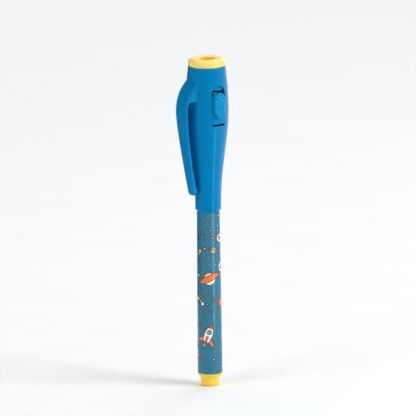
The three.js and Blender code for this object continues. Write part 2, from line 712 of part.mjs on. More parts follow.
function buttonCell(index) {
  const z = CELLS_Z + index * (CELL_H + FIT);
  const canTop = z + CELL_H - 0.45;
  return revolve(
    [
      [0, z],
      [CELL_R - 0.35, z],
      [CELL_R, z + 0.35],
      [CELL_R, canTop - 0.25],
      [CELL_R - 0.3, canTop],
      [CELL_R - 0.95, canTop],
      [CELL_R - 0.95, z + CELL_H - 0.2],
      [CELL_R - 1.15, z + CELL_H],
      [0, z + CELL_H],
    ],
    ROUND_INSIDE,
  );
}

// The cradle: a floor that stands on the inner cap, a tube round the cells with a front window, and wings.
function cellCarrier() {
  const inner = CELL_R + FIT;
  const outer = inner + CARRIER_WALL;
  const rimR = MOUTH_R - 2 * FIT;
  const flatY = PIVOT_Y + PIVOT_ROOM;
  const floor = disc(rimR, CARRIER_Z, CARRIER_FLOOR_TOP).intersect(
    box([-rimR, rimR], [flatY, rimR], [CARRIER_Z, CARRIER_FLOOR_TOP]),
  );
  const wall = tube(inner, outer, CARRIER_Z + 0.4, CARRIER_TOP, ROUND_INSIDE);
  const halfWing = CARRIER_WING_T / 2;
  const high = CARRIER_TOP;
  const low = CARRIER_FLOOR_TOP - 0.2;
  const wings = [
    box([inner + 0.2, rimR - 0.1], [-halfWing, halfWing], [low, high]),
    box([-rimR + 0.1, -inner - 0.2], [-halfWing, halfWing], [low, high]),
    box([-halfWing, halfWing], [inner + 0.2, rimR - 0.1], [low, high]),
  ];
  const windowHalf = CONTACT_W / 2 + 0.4;
  const window = box(
    [-windowHalf, windowHalf],
    [-outer - 1, 0],
    [CARRIER_FLOOR_TOP, CARRIER_TOP - CARRIER_TOP_RING_H],
  );
  const bore = disc(inner, CARRIER_FLOOR_TOP, CARRIER_TOP + 1, ROUND_INSIDE);
  return wings.reduce((sum, wing) => sum.add(wing), floor.add(wall)).subtract(window).subtract(bore);
}

// A spring-metal plate under the cells with a finger that stands up in front of them.
function lowerContact() {
  const low = CARRIER_FLOOR_TOP + FIT;
  const plate = disc(CELL_R - 0.3, low, low + CONTACT_T, ROUND_INSIDE);
  const fingerTop = STEM_Z + FINGER_ABOVE_STEM;
  const finger = strip([[0, low], [CONTACT_Y, low], [CONTACT_Y, fingerTop]], -CONTACT_T, CONTACT_W);
  return plate.add(finger);
}

// The bowed leaf that the lever's stem pushes on to the finger; its top tab lies on the carrier's ring.
function switchLeaf() {
  const high = CARRIER_TOP + FIT;
  const foot = CARRIER_FLOOR_TOP + 2;
  const points = [
    [LEAF_Y + 0.15, foot],
    [LEAF_Y, foot + 1.2],
    [LEAF_Y - LEAF_BOW * 0.5, (foot + STEM_Z) / 2],
    [LEAF_Y, STEM_Z],
    [LEAF_Y, high],
    [-(CELL_R + FIT), high],
  ];
  return strip(points, CONTACT_T, CONTACT_W);
}

function led() {
  const dome = range(7, (i) => {
    const a = (i / 6) * (Math.PI / 2);
    return [LED_R * Math.cos(a), LED_Z + LED_H - LED_R + LED_R * Math.sin(a)];
  });
  return revolve(
    [[0, LED_Z], [LED_FLANGE_R, LED_Z], [LED_FLANGE_R, HOLDER_TOP], [LED_R, HOLDER_TOP], ...dome],
    ROUND_INSIDE,
  );
}

// The anode lead drops straight on to the top cell and turns across it.
function anodeLead() {
  const x = LEAD_PITCH / 2;
  const low = CELLS_TOP;
  const drop = box([x - LEAD_T / 2, x + LEAD_T / 2], [-LEAD_T / 2, LEAD_T / 2], [low, LED_Z - FIT]);
  const foot = box([x - LEAD_T / 2, x + LEAD_T / 2], [-LEAD_T / 2, LEAD_T * 4], [low, low + LEAD_T]);
  return drop.add(foot);
}

// The cathode lead turns forward and lies on the leaf's tab.
function cathodeLead() {
  const x = -LEAD_PITCH / 2;
  const low = CARRIER_TOP + FIT + CONTACT_T + FIT;
  const drop = box([x - LEAD_T / 2, x + LEAD_T / 2], [-LEAD_T / 2, LEAD_T / 2], [low, LED_Z - FIT]);
  const run = box([x - LEAD_T / 2, x + LEAD_T / 2], [LEAF_Y, LEAD_T / 2], [low, low + LEAD_T]);
  return drop.add(run);
}

// The disc that clamps the carrier down and centres the lamp.
function ledHolder() {
  const rimR = MOUTH_R - 2 * FIT;
  const plateLow = HOLDER_TOP - HOLDER_T;
  const bossLow = CARRIER_TOP + FIT;
  const bossR = CELL_R + FIT + CARRIER_WALL;
  const flatY = LEAF_Y + HOLDER_FLAT_IN;
  const channel = CONTACT_W / 2 + 0.3;
  const channelTop = bossLow + CONTACT_T + LEAD_T + 3 * FIT;
  const leadHole = LEAD_T + 0.3;
  const leads = box(
    [-LEAD_PITCH / 2 - leadHole / 2, LEAD_PITCH / 2 + leadHole / 2],
    [-leadHole / 2, leadHole / 2],
    [bossLow - 1, HOLDER_TOP],
  );
  return disc(rimR, plateLow, HOLDER_TOP)
    .add(disc(bossR, bossLow, plateLow + 0.2))
    .intersect(box([-rimR, rimR], [flatY, rimR], [bossLow, HOLDER_TOP]))
    .subtract(disc(LED_FLANGE_R + FIT, LED_Z - FIT, HOLDER_TOP + 1, ROUND_INSIDE))
    .subtract(box([-channel, channel], [-rimR, 0.4], [bossLow - 1, channelTop]))
    .subtract(leads);
}

// The lamp's ring: a rounded rim on the mouth, a funnel round the lamp and a skirt pressed into the bore.
function lampRing() {
  const seat = CAP_TOP_Z + FIT;
  const top = RING_TOP_Z;
  const outerR = CAP_TOP_R;
  const crownR = (outerR + RING_HOLE_R) / 2;
  const shoulderZ = seat + RING_H * 0.42;
  const rim = range(8, (i) => {
    const a = (i / 7) * (Math.PI / 2);
    const radius = crownR + (outerR + RING_BULGE - crownR) * Math.cos(a);
    return [radius, shoulderZ + (top - shoulderZ) * Math.sin(a)];
  });
  const lip = range(4, (i) => {
    const a = (i / 3) * (Math.PI / 2) * 0.85;
    return [crownR - (crownR - RING_HOLE_R) * Math.sin(a), top - 0.45 * (1 - Math.cos(a))];
  });
  const skirtR = MOUTH_R - FIT;
  const funnelFoot = LED_R + 0.15;
  const roof = CAP_TOP_Z + 0.4;
  return revolve([
    [outerR - 0.2, seat],
    [outerR, seat + 0.25],
    ...rim,
    ...lip.slice(1),
    [RING_HOLE_R, top - 0.9],
    [funnelFoot + 0.3, LED_Z + LED_H - LED_R],
    [funnelFoot, RING_FOOT_Z],
    [funnelFoot + RING_WALL, RING_FOOT_Z],
    [RING_HOLE_R + RING_WALL, roof],
    [skirtR - RING_WALL, roof],
    [skirtR - RING_WALL, RING_FOOT_Z],
    [skirtR - 0.2, RING_FOOT_Z],
    [skirtR, RING_FOOT_Z + 0.5],
    [skirtR, seat],
    [outerR - 0.2, seat],
  ]);
}

// The assembly

const marker = new THREE.Group();

function place(name, solid, finish) {
  const mesh = new THREE.Mesh(toGeometry(solid), new THREE.MeshStandardMaterial(COLOURS[finish]));
  mesh.name = name;
  marker.add(mesh);
}

place('barrel_tube', barrelTube(), 'blue');
place('barrel_sleeve', barrelSleeve(), 'sleeve');
place('end_plug', endPlug(), 'yellow');
place('nib_section', nibSection(), 'yellow');
place('fibre_nib', fibreNib(), 'fibre');
place('ink_reservoir', inkReservoir(), 'fibre');
place('reservoir_wrap', reservoirWrap(), 'film');
place('cap_shell', capShell(), 'blue');
place('inner_cap', innerCap(), 'white');
place('switch_lever', switchLever(), 'blue');
place('cell_carrier', cellCarrier(), 'black');
range(CELL_COUNT, (i) => place(`button_cell_${i + 1}`, buttonCell(i), 'steel'));
place('lower_contact', lowerContact(), 'brass');
place('switch_leaf', switchLeaf(), 'brass');
place('led_lens', led(), 'clear');
place('led_anode_lead', anodeLead(), 'steel');
place('led_cathode_lead', cathodeLead(), 'steel');
place('led_holder', ledHolder(), 'black');
place('lamp_ring', lampRing(), 'yellow');

export default marker;
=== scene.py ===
"""The visible pieces of a capped marker with a lamp in its cap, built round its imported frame, in metres."""

import math
import random

import bmesh
import bpy
from bpy.props import FloatProperty, FloatVectorProperty, IntProperty, PointerProperty
from mathutils import Color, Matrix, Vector


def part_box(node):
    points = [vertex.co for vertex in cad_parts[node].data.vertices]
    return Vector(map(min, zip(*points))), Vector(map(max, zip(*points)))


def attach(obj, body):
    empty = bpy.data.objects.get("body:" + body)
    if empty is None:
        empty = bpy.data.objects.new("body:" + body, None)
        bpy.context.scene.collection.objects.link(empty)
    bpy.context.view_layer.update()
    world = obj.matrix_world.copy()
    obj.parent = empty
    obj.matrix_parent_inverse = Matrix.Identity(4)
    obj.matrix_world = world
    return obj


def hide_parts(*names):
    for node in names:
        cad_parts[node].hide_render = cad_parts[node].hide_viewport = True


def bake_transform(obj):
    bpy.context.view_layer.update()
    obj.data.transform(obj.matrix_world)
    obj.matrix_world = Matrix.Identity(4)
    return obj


bl_info = {
    "name": "Lamp-cap marker",
    "version": (1, 0, 0),
    "blender": (4, 5, 0),
    "location": "View3D > Sidebar > Marker",
    "description": "Builds the visible pieces of a marker with a lamp in its cap",
    "category": "Add Mesh",
}

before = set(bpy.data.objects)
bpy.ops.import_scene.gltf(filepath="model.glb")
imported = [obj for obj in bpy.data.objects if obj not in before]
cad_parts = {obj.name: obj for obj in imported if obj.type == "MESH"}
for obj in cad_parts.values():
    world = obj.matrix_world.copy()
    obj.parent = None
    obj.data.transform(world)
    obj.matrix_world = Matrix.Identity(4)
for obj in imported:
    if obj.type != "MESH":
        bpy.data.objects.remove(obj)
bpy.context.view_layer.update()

MM = 0.001
FULL_TURN = 2 * math.pi
PRESS_GAP = 0.05 * MM
OVERSHOOT = 4 * MM
SAME_POINT = 1e-6
PAD_SKIRT = 0.15 * MM
BACKDROP = (0.87, 0.885, 0.895, 1)

SHELL_LOW, SHELL_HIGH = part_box("cap_shell")
SLEEVE_LOW, SLEEVE_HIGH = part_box("barrel_sleeve")
TUBE_LOW, TUBE_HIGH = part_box("barrel_tube")
PLUG_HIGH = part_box("end_plug")[1]
SECTION_LOW, SECTION_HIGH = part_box("nib_section")
NIB_LOW, NIB_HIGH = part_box("fibre_nib")
LEVER_LOW, LEVER_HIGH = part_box("switch_lever")
CARRIER_LOW, CARRIER_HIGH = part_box("cell_carrier")
LED_LOW, LED_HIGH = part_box("led_lens")
RING_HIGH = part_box("lamp_ring")[1]
INNER_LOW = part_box("inner_cap")[0]
LEAF_LOW, LEAF_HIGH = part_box("switch_leaf")

INKS = {
    "navy": (28, 40, 66),
    "yellow": (242, 204, 92),
    "ochre": (196, 158, 88),
    "orange": (244, 126, 60),
    "red": (238, 84, 48),
    "magenta": (206, 52, 122),
    "cream": (252, 234, 214),
    "silver": (176, 196, 206),
    "teal": (70, 170, 176),
    "brown": (158, 96, 84),
}


def length(name, description, default):
    """A size of the object, given in millimetres."""
    return FloatProperty(name=name, description=description, default=default * MM, min=0, unit="LENGTH")


def number(name, description, default):
    """A bare number that shapes a curve or a finish."""
    return FloatProperty(name=name, description=description, default=default)


def count(name, description, default):
    """A number of facets."""
    return IntProperty(name=name, description=description, default=default, min=3)


def colour(name, description, red, green, blue):
    """A colour as it is seen on a screen, from 0 to 255."""
    return FloatVectorProperty(
        name=name, description=description, default=(red / 255, green / 255, blue / 255),
        size=3, min=0, max=1, subtype="COLOR_GAMMA",
    )


class MARKER_PG_barrel(bpy.types.PropertyGroup):
    """Sizes of the barrel, its film, the end plug and the nib section."""

    rear_radius: length("Rear radius", "Outside of the film at the rear", PLUG_HIGH.x / MM)
    front_radius: length("Front radius", "Outside at the front, as if the film ran on", 4.86)
    film: length("Film", "Thickness of the printed film", 0.15)
    film_gap: length("Film gap", "Air between film and barrel", 0.05)
    wall: length("Wall", "Wall of the barrel", 0.95)
    plug_radius: length("Plug radius", "Radius of the small cylinder that the pen stands on", 4.12)
    plug_height: length("Plug height", "Height of that cylinder", 3.5)
    plug_edge: length("Plug edge", "Rounding of its lower edge", 1.1)
    plug_slope: length("Plug slope", "Height of the slope up to the plug's collar", 1.5)
    section_collar: length("Section collar", "Radius of the nib section's collar", 4.55)
    section_land: length("Section land", "Radius of the band that the cap seals on", 3.95)
    nose_radius: length("Nose radius", "Radius of the nib section's nose", 1.75)
    nib_radius: length("Nib radius", "Radius of the fibre nib", 1.1)
    facets: count("Facets", "Facets round a turned piece", 128)


class MARKER_PG_cap(bpy.types.PropertyGroup):
    """Sizes of the cap and its pocket clip."""

    rim_radius: length("Rim radius", "Outside of the rim", 5.65)
    rim_bore: length("Rim bore", "Inside of the rim", 5.17)
    belly_radius: length("Belly radius", "Outside at the widest point", SHELL_HIGH.y / MM)
    mouth_radius: length("Mouth radius", "Outside at the lamp's end", 8.12)
    mouth_wall: length("Mouth wall", "Wall at the lamp's end", 0.82)
    flare_wall: length("Flare wall", "Wall where the cap flares", 1.12)
    crown_height: length("Crown height", "From the belly up to the lamp's end", 20)
    flare: number("Flare", "How late the flare from rim to belly starts", 1.2)
    crown: number("Crown", "How full the crown above the belly is", 2.1)
    edge: length("Edge", "Rounding of the rim's edges", 0.1)
    clip_length: length("Clip length", "From the clip's tip to the top of its root", 52)
    clip_root_drop: length("Clip root drop", "From the lamp's end down to the clip's root", 4.9)
    clip_root_height: length("Clip root height", "Height of the root that joins the cap", 10)
    clip_bulge_drop: length("Clip bulge drop", "From the root's underside to the widest point", 5.2)
    clip_reach: length("Clip reach", "Widest point from the pen's axis", -SHELL_LOW.x / MM)
    clip_tip_reach: length("Clip tip reach", "Tip's outer face from the pen's axis", 9.4)
    clip_thickness: length("Clip thickness", "Thickness of the arm", 1.8)
    clip_root_width: length("Clip root width", "Width at the top of the root", 9.4)
    clip_tip_width: length("Clip tip width", "Width at the tip", 4.2)
    clip_edge: length("Clip edge", "Rounding of the clip's edges", 0.7)
    clip_fillet: length("Clip fillet", "Fillet between arm and root", 1.6)
    clip_bead: length("Clip bead", "How far the gripping bead stands in", 0.75)
    clip_bead_length: length("Clip bead length", "Length of the gripping bead", 4)
    facets: count("Facets", "Facets round the cap", 144)


class MARKER_PG_switch(bpy.types.PropertyGroup):
    """Sizes of the switch lever, its thumb pad and the recess above it."""

    width: length("Width", "Width of the lever", 6.1)
    side_gap: length("Side gap", "Gap on each side of the lever", 0.12)
    top_gap: length("Top gap", "Slit above the lever", 0.9)
    bottom_gap: length("Bottom gap", "Slit below the lever", 0.6)
    draft: number("Draft", "How steeply the slot's lower face falls away to the inside", 0.3)
    thickness: length("Thickness", "Thickness of the plate", 1.15)
    crown: length("Crown", "Rounding of the lever's upper end", 1.9)
    lip_rise: length("Lip rise", "How far the hidden lips reach above the slot", 0.8)
    lip_width: length("Lip width", "Width of a hidden lip", 0.5)
    pad_height: length("Pad height", "Height of the thumb pad", 11.6)
    pad_rise: length("Pad rise", "How far the pad stands proud", 0.85)
    diamond_pitch: length("Diamond pitch", "Distance between the pad's diamonds", 1.42)
    diamond_rise: length("Diamond rise", "Height of a diamond", 0.26)
    scoop_depth: length("Scoop depth", "Depth of the thumb recess", 0.85)
    scoop_side: length("Scoop side", "Recess beyond the slot on each side", 0.35)
    scoop_up: length("Scoop up", "Recess above the slot", 2.1)
    scoop_down: length("Scoop down", "How far the recess runs down beside the lever", 3.2)
    pivot_up: length("Pivot up", "Pivot above the lever's lower end", 1.6)
    pivot_depth: length("Pivot depth", "Pivot from the pen's axis", 7.4)
    pivot_radius: length("Pivot radius", "Radius of the pivot stubs", 0.5)
    pivot_play: length("Pivot play", "Gap round the pivot stubs", 0.1)
    pivot_stub: length("Pivot stub", "Length of a pivot stub", 0.7)
    stem_drop: length("Stem drop", "Stem below the top of the cells' cradle", 3.7)
    stem_gap: length("Stem gap", "Air between stem and leaf at rest", 0.2)
    leaf_thickness: length("Leaf thickness", "Thickness of the sprung leaf", 0.3)
    leaf_bow: length("Leaf bow", "How far the leaf bows out below the stem", 0.175)
    pip: length("Pip", "How far the leaf's contact pip stands in", 0.3)


class MARKER_PG_lamp(bpy.types.PropertyGroup):
    """Sizes of the lamp's ring and lens."""

    hole_radius: length("Hole radius", "Radius of the hole in the ring", 3.7)
    wall: length("Wall", "Wall of the ring's funnel and skirt", 1)
    bulge: length("Bulge", "How far the ring stands beyond the cap's mouth", 0.08)
    lens_radius: length("Lens radius", "Radius of the lamp's lens", 2.5)
    lens_flange: length("Lens flange", "Height of the lens's foot", 1)
    facets: count("Facets", "Facets round the ring", 128)


class MARKER_PG_finish(bpy.types.PropertyGroup):
    """Colours of the plastics and of the inks on the film."""

    cap: colour("Cap", "Blue moulded plastic of the cap", 0, 125, 181)
    # Painted highlight and painted shade: the switch's diamonds are painted paler as if lit, and the pad's
    # face between them darker as shade.
    crests: colour("Crests", "The switch's diamonds, paler where thumbs rub them", 34, 184, 234)
    grooves: colour("Grooves", "Between the switch's diamonds, where dust settles", 0, 108, 166)
    # The barrel's own blue plastic, painted lighter than the cap's as a painted highlight for the light on
    # the bare band under the cap's rim.
    barrel: colour("Barrel", "Blue moulded plastic of the barrel", 4, 144, 206)
    ring: colour("Ring", "Pale yellow plastic of the lamp's ring", 252, 222, 126)
    # Painted shade: the ring's plastic inside its hole is painted a deeper yellow, standing in for the shade
    # and bounced light in the hole.
    funnel: colour("Funnel", "The ring's plastic inside its hole, deepened by its own glow", 254, 214, 104)
    plug: colour("Plug", "Yellow plastic of the end plug and the nib section", 252, 216, 78)
    film: colour("Film", "Ground colour of the printed film", 28, 122, 152)
    film_shade: colour("Film shade", "Greyer patches of the film's ground", 46, 112, 138)


for ink, rgb in INKS.items():
    MARKER_PG_finish.__annotations__[ink] = colour(f"{ink.capitalize()} ink", "Ink of the print", *rgb)


class MARKER_PG_stage(bpy.types.PropertyGroup):
    """Camera, light and floor."""

    azimuth: number("Azimuth", "Camera's place round the pen, in degrees from the switch's side", -34.6)
    elevation: number("Elevation", "Camera above the horizon, in degrees", 12.5)
    roll: number("Roll", "Camera's roll, in degrees", 0.64)
    distance: number("Distance", "Camera from the pen, in metres", 6)
    aim: length("Aim", "Height that the camera looks at", 79)
    aside: length("Aside", "How far left of the pen the camera looks", 0.13)
    scale: number("Scale", "Picture widths per metre at the pen", 2294 / 416)
    sky: number("Sky", "Strength of the light from all round", 0.15)


def settings(group):
    """The scene's settings of a group."""
    return getattr(bpy.context.scene, f"marker_{group}")


def object_mode():
    """Leaves edit mode."""
    bpy.ops.object.mode_set(mode="OBJECT")


def clear_selection():
    """Back to object mode with nothing selected."""
    if bpy.context.object and bpy.context.object.mode != "OBJECT":
        object_mode()
    bpy.ops.object.select_all(action="DESELECT")


def pick(*objects):
    """Selects these objects only, the first one active."""
    clear_selection()
    for obj in objects:
        obj.select_set(True)
    bpy.context.view_layer.objects.active = objects[0]


def edit(obj):
    """Into edit mode on one object, with all of it selected."""
    pick(obj)
    bpy.ops.object.mode_set(mode="EDIT")
    bpy.ops.mesh.select_all(action="SELECT")


def settle(obj):
    """Moves an object's place, turn and scale into its mesh."""
    pick(obj)
    bpy.ops.object.transform_apply(location=True, rotation=True, scale=True)
    return obj


def named(name):
    """The object that was just added, under its name."""
    obj = bpy.context.object
    obj.name = name
    return obj


def close_up(merge=0.0):
    """Turns the faces of the edited mesh outwards, after its doubles are merged, and leaves edit mode."""
    bpy.ops.mesh.select_all(action="SELECT")
    if merge:
        bpy.ops.mesh.remove_doubles(threshold=merge)
    bpy.ops.mesh.normals_make_consistent(inside=False)
    object_mode()


def drawn_line(name, points):
    """A chain of edges through the points, left in edit mode with all of it selected."""
    clear_selection()
    bpy.ops.mesh.primitive_plane_add(size=MM, location=(0, 0, 0), enter_editmode=True)
    obj = named(name)
    bpy.ops.mesh.merge(type="CENTER")
    bpy.ops.transform.translate(value=points[0])
    for before, after in zip(points, points[1:]):
        step = Vector(after) - Vector(before)
        bpy.ops.mesh.extrude_vertices_move(TRANSFORM_OT_translate={"value": step})
    bpy.ops.mesh.select_all(action="SELECT")
    bpy.ops.mesh.remove_doubles(threshold=SAME_POINT)
    return obj


def turned(name, profile, facets):
    """A piece turned about the pen's axis; its radii and heights start and end on the axis, or close."""
    points = [(radius, 0, height) for radius, height in profile]
    if profile[0][0] > 0:
        points.append(points[0])
    obj = drawn_line(name, points)
    bpy.ops.mesh.spin(steps=facets, angle=FULL_TURN, center=(0, 0, 0), axis=(0, 0, 1))
    close_up(SAME_POINT)
    return obj


def extrude(step):
    """Extrudes what is selected in edit mode."""
    bpy.ops.mesh.extrude_region_move(TRANSFORM_OT_translate={"value": step})


def prism(name, outline, front, back):
    """A solid with an outline of pairs of X and Z, run along Y."""
    points = [(x, front, z) for x, z in outline]
    obj = drawn_line(name, points + points[:1])
    bpy.ops.mesh.edge_face_add()
    extrude((0, back - front, 0))
    close_up()
    return obj


def block(name, low, high, edge=0.0):
    """A box between two corners, with its edges bevelled."""
    clear_selection()
    middle = (Vector(low) + Vector(high)) / 2
    bpy.ops.mesh.primitive_cube_add(size=1, location=middle, enter_editmode=True)
    obj = named(name)
    bpy.ops.transform.resize(value=Vector(high) - Vector(low), center_override=middle)
    if edge:
        bpy.ops.mesh.bevel(offset=edge, segments=2, affect="EDGES")
    object_mode()
    return settle(obj)


def rod_along_x(name, radius, half, y, z, edge=0.0):
    """A round bar across the pen, with its ends bevelled."""
    clear_selection()
    bpy.ops.mesh.primitive_cylinder_add(
        vertices=32, radius=radius, depth=2 * half, location=(0, y, z), rotation=(0, math.pi / 2, 0)
    )
    obj = settle(named(name))
    if edge:
        soften(obj, edge)
    return obj


def stump(name, sides, foot, top, height, place, turn):
    """A cone with its point cut off, added at its place and turn."""
    clear_selection()
    bpy.ops.mesh.primitive_cone_add(
        vertices=sides, radius1=foot, radius2=top, depth=height, location=place, rotation=turn
    )
    return settle(named(name))


def board(name, place, size, cuts):
    """A level subdivided plane, left in edit mode with all of it selected."""
    clear_selection()
    bpy.ops.mesh.primitive_plane_add(size=1, location=place, enter_editmode=True)
    obj = named(name)
    bpy.ops.mesh.subdivide(number_cuts=cuts)
    bpy.ops.transform.resize(value=(*size, 1), center_override=place)
    return obj


def use_modifier(obj, kind, **values):
    """Adds a modifier and applies it."""
    modifier = obj.modifiers.new(kind.lower(), kind)
    for name, value in values.items():
        setattr(modifier, name, value)
    pick(obj)
    bpy.ops.object.modifier_apply(modifier=modifier.name)


def deform(obj, method, **values):
    """Bends or tapers about the pen's axis."""
    use_modifier(obj, "SIMPLE_DEFORM", deform_method=method, deform_axis="Z", **values)


def soften(obj, width, segments=2, degrees=60):
    """Rounds the edges that are sharper than an angle."""
    angle = math.radians(degrees)
    use_modifier(obj, "BEVEL", width=width, segments=segments, limit_method="ANGLE", angle_limit=angle)


def combine(obj, operation, tool):
    """Joins or cuts with another solid, which is used up."""
    use_modifier(obj, "BOOLEAN", operation=operation, solver="EXACT", object=tool)
    bpy.data.objects.remove(tool)


def smooth(obj, degrees=30):
    """Smooth shading up to an angle."""
    pick(obj)
    bpy.ops.object.shade_smooth_by_angle(angle=math.radians(degrees))


def copy_of(obj):
    """A copy with its own mesh."""
    pick(obj)
    bpy.ops.object.duplicate(linked=False)
    return bpy.context.object


def join(name, *objects):
    """One object out of several."""
    pick(*objects)
    bpy.ops.object.join()
    return named(name)


def hand_over(obj, material, slot, body, *nodes):
    """Gives a finished piece its material and its place in the frame."""
    if material is not None:
        obj.data.materials.clear()
        obj.data.materials.append(material)
    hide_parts(*nodes)
    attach(obj, body)


def arc(middle, radius_x, radius_z, start, end, steps):
    """Points on a stretch of an ellipse, from one angle to another in degrees."""
    turns = [math.radians(start + (end - start) * i / steps) for i in range(steps + 1)]
    return [(middle[0] + radius_x * math.cos(a), middle[1] + radius_z * math.sin(a)) for a in turns]


def near(corner, *offsets):
    """Points close to a corner, by their offsets in millimetres."""
    return [(corner[0] + x * MM, corner[1] + z * MM) for x, z in offsets]


def scaled(width, height, *pairs):
    """Points given as shares of a width and a height."""
    return [(width * across, height * up) for across, up in pairs]


def mirrored(points):
    """The points on the other side of the middle, in reverse."""
    return [(-x, z) for x, z in reversed(points)]


def blend(low, high, share):
    """The number that lies at a share of the way."""
    return low + (high - low) * share


def steps_between(low, high, steps):
    """Evenly spaced numbers from low to high."""
    return [blend(low, high, i / steps) for i in range(steps + 1)]


def barrel_radius(z):
    """Outside of the film at a height."""
    barrel = settings("barrel")
    share = (z - TUBE_LOW.z) / (TUBE_HIGH.z - TUBE_LOW.z)
    return blend(barrel.rear_radius, barrel.front_radius, share)


def bare_radius(z):
    """Outside of the barrel itself."""
    barrel = settings("barrel")
    return barrel_radius(z) - barrel.film - barrel.film_gap


def cap_radius(z):
    """Outside of the cap: a slow flare from the rim to the belly, then a crown up to the mouth."""
    cap = settings("cap")
    belly_z = SHELL_HIGH.z - cap.crown_height
    if z < belly_z:
        late = max(0.0, (z - SHELL_LOW.z) / (belly_z - SHELL_LOW.z)) ** cap.flare
        return cap.rim_radius + (cap.belly_radius - cap.rim_radius) * late * late * (3 - 2 * late)
    over = (z - belly_z) / cap.crown_height
    return cap.belly_radius - (cap.belly_radius - cap.mouth_radius) * over**cap.crown


def cap_bore():
    """Inside of the cap at the lamp's end."""
    cap = settings("cap")
    return cap.mouth_radius - cap.mouth_wall


def seen(rgb):
    """A screen colour as the shader takes it."""
    return (*Color(rgb).from_srgb_to_scene_linear(), 1.0)


def shaded(rgb, factor):
    """A colour made darker or lighter."""
    return seen([min(1.0, channel * factor) for channel in rgb])


def sheen(rgb):
    """Reflections that keep some of the plastic's own hue."""
    return seen([blend(channel, 1, 0.25) for channel in rgb])


def feed(tree, socket, value):
    """Links an output to a socket, or sets the socket to a value."""
    if isinstance(value, bpy.types.NodeSocket):
        tree.links.new(value, socket)
    else:
        socket.default_value = value


class Finish:
    """A node material while it is put together."""

    def __init__(self, name, roughness=0.35, **shader):
        self.material = bpy.data.materials.new(name)
        self.material.use_nodes = True
        self.tree = self.material.node_tree
        self.shader = self.tree.nodes["Principled BSDF"]
        self.into("Roughness", roughness)
        for socket, value in shader.items():
            self.into(socket.replace("_", " "), value)
        self.place = self.node("ShaderNodeTexCoord").outputs["Object"]

    def node(self, kind, options=None, **inputs):
        """A node with its sockets set or linked."""
        made = self.tree.nodes.new(kind)
        for name, value in (options or {}).items():
            setattr(made, name, value)
        for socket, value in inputs.items():
            feed(self.tree, made.inputs[socket.replace("_", " ")], value)
        return made

    def into(self, socket, value):
        """Links or sets one of the shader's sockets."""
        feed(self.tree, self.shader.inputs[socket], value)

    def noise(self, size, detail=2.0, stretch=(1, 1, 1)):
        """A soft pattern with features of about that size, in metres."""
        placed = self.node("ShaderNodeMapping", Vector=self.place, Scale=stretch).outputs["Vector"]
        return self.node("ShaderNodeTexNoise", Vector=placed, Scale=1 / size, Detail=detail).outputs["Fac"]

    def spread(self, value, low, high):
        """A pattern's values brought between two numbers."""
        inputs = {"From_Min": 0.3, "From_Max": 0.7, "To_Min": low, "To_Max": high}
        return self.node("ShaderNodeMapRange", Value=value, **inputs).outputs["Result"]

    def mix(self, share, first, second):
        """Two colours mixed by a pattern."""
        made = self.node("ShaderNodeMix", {"data_type": "RGBA"})
        for socket, value in zip((0, 6, 7), (share, first, second)):
            feed(self.tree, made.inputs[socket], value)
        return made.outputs[2]

    def clouded(self, pattern, dark, light):
        """The base colour, between two tones by a pattern."""
        self.into("Base Color", self.mix(self.spread(pattern, 0, 1), dark, light))

    def relief(self, height, strength, distance):
        """A bump that the shader takes as its normal."""
        bump = self.node("ShaderNodeBump", Height=height, Strength=strength, Distance=distance)
        self.into("Normal", bump.outputs["Normal"])


def moulded_plastic(name, rgb, roughness=0.3, **shader):
    """Glossy moulding: a faint orange-peel skin, an uneven gloss and a slightly cloudy colour."""
    finish = Finish(name, roughness, Specular_Tint=sheen(rgb), **shader)
    finish.clouded(finish.noise(6 * MM, 3), shaded(rgb, 0.97), shaded(rgb, 1.02))
    gloss = finish.spread(finish.noise(2.2 * MM, 4), roughness - 0.04, roughness + 0.05)
    finish.into("Roughness", gloss)
    finish.relief(finish.noise(1.2 * MM, 2), 0.02, 0.05 * MM)
    return finish.material


def glowing_plastic(name, rgb, roughness, weight):
    """The same moulding in a plastic that lets some light in."""
    return moulded_plastic(name, rgb, roughness, Subsurface_Weight=weight, Subsurface_Scale=MM)


def clear_faced(name):
    """A print under a clear, slightly rippled face, still without its colour."""
    finish = Finish(name, 0.3, Specular_IOR_Level=0.3, Coat_Weight=0.2, Coat_Roughness=0.08)
    finish.relief(finish.noise(1.8 * MM, 2, (1, 1, 0.35)), 0.08, 0.08 * MM)
    return finish


def printed_ground(name, rgb, shade):
    """The film's ground colour, with fine printed dots."""
    finish = clear_faced(name)
    patches = finish.spread(finish.noise(9 * MM, 2, (1, 1, 0.5)), 0, 1)
    ground = finish.mix(patches, seen(rgb), seen(shade))
    dot_pitch = 0.22 * MM
    cells = finish.node("ShaderNodeTexVoronoi", Vector=finish.place, Scale=1 / dot_pitch).outputs["Distance"]
    screen = finish.node("ShaderNodeMapRange", Value=cells, From_Min=0.2, From_Max=0.5, To_Min=0.12, To_Max=0)
    finish.into("Base Color", finish.mix(screen.outputs["Result"], ground, shaded(rgb, 0.8)))
    return finish.material


def printed_ink(name, rgb):
    """An ink on the film, with a faint print screen."""
    finish = clear_faced(name)
    finish.clouded(finish.noise(0.2 * MM, 1), shaded(rgb, 0.95), shaded(rgb, 1.03))
    return finish.material


def soft_fibre(name, rgb, size):
    """Pressed fibre: fine strands along the pen."""
    finish = Finish(name, 0.9, Sheen_Weight=0.2)
    strands = finish.noise(size, 4, (1, 1, 0.08))
    finish.clouded(strands, shaded(rgb, 0.88), seen(rgb))
    finish.relief(strands, 0.4, size)
    return finish.material


def bright_metal(name, rgb, roughness, size, stretch=(1, 1, 1)):
    """Plated or rolled metal with fine marks."""
    finish = Finish(name, roughness, Metallic=1.0)
    marks = finish.noise(size, 3, stretch)
    finish.clouded(marks, shaded(rgb, 0.9), seen(rgb))
    finish.into("Roughness", finish.spread(marks, roughness - 0.06, roughness + 0.1))
    finish.relief(marks, 0.1, 0.02 * MM)
    return finish.material


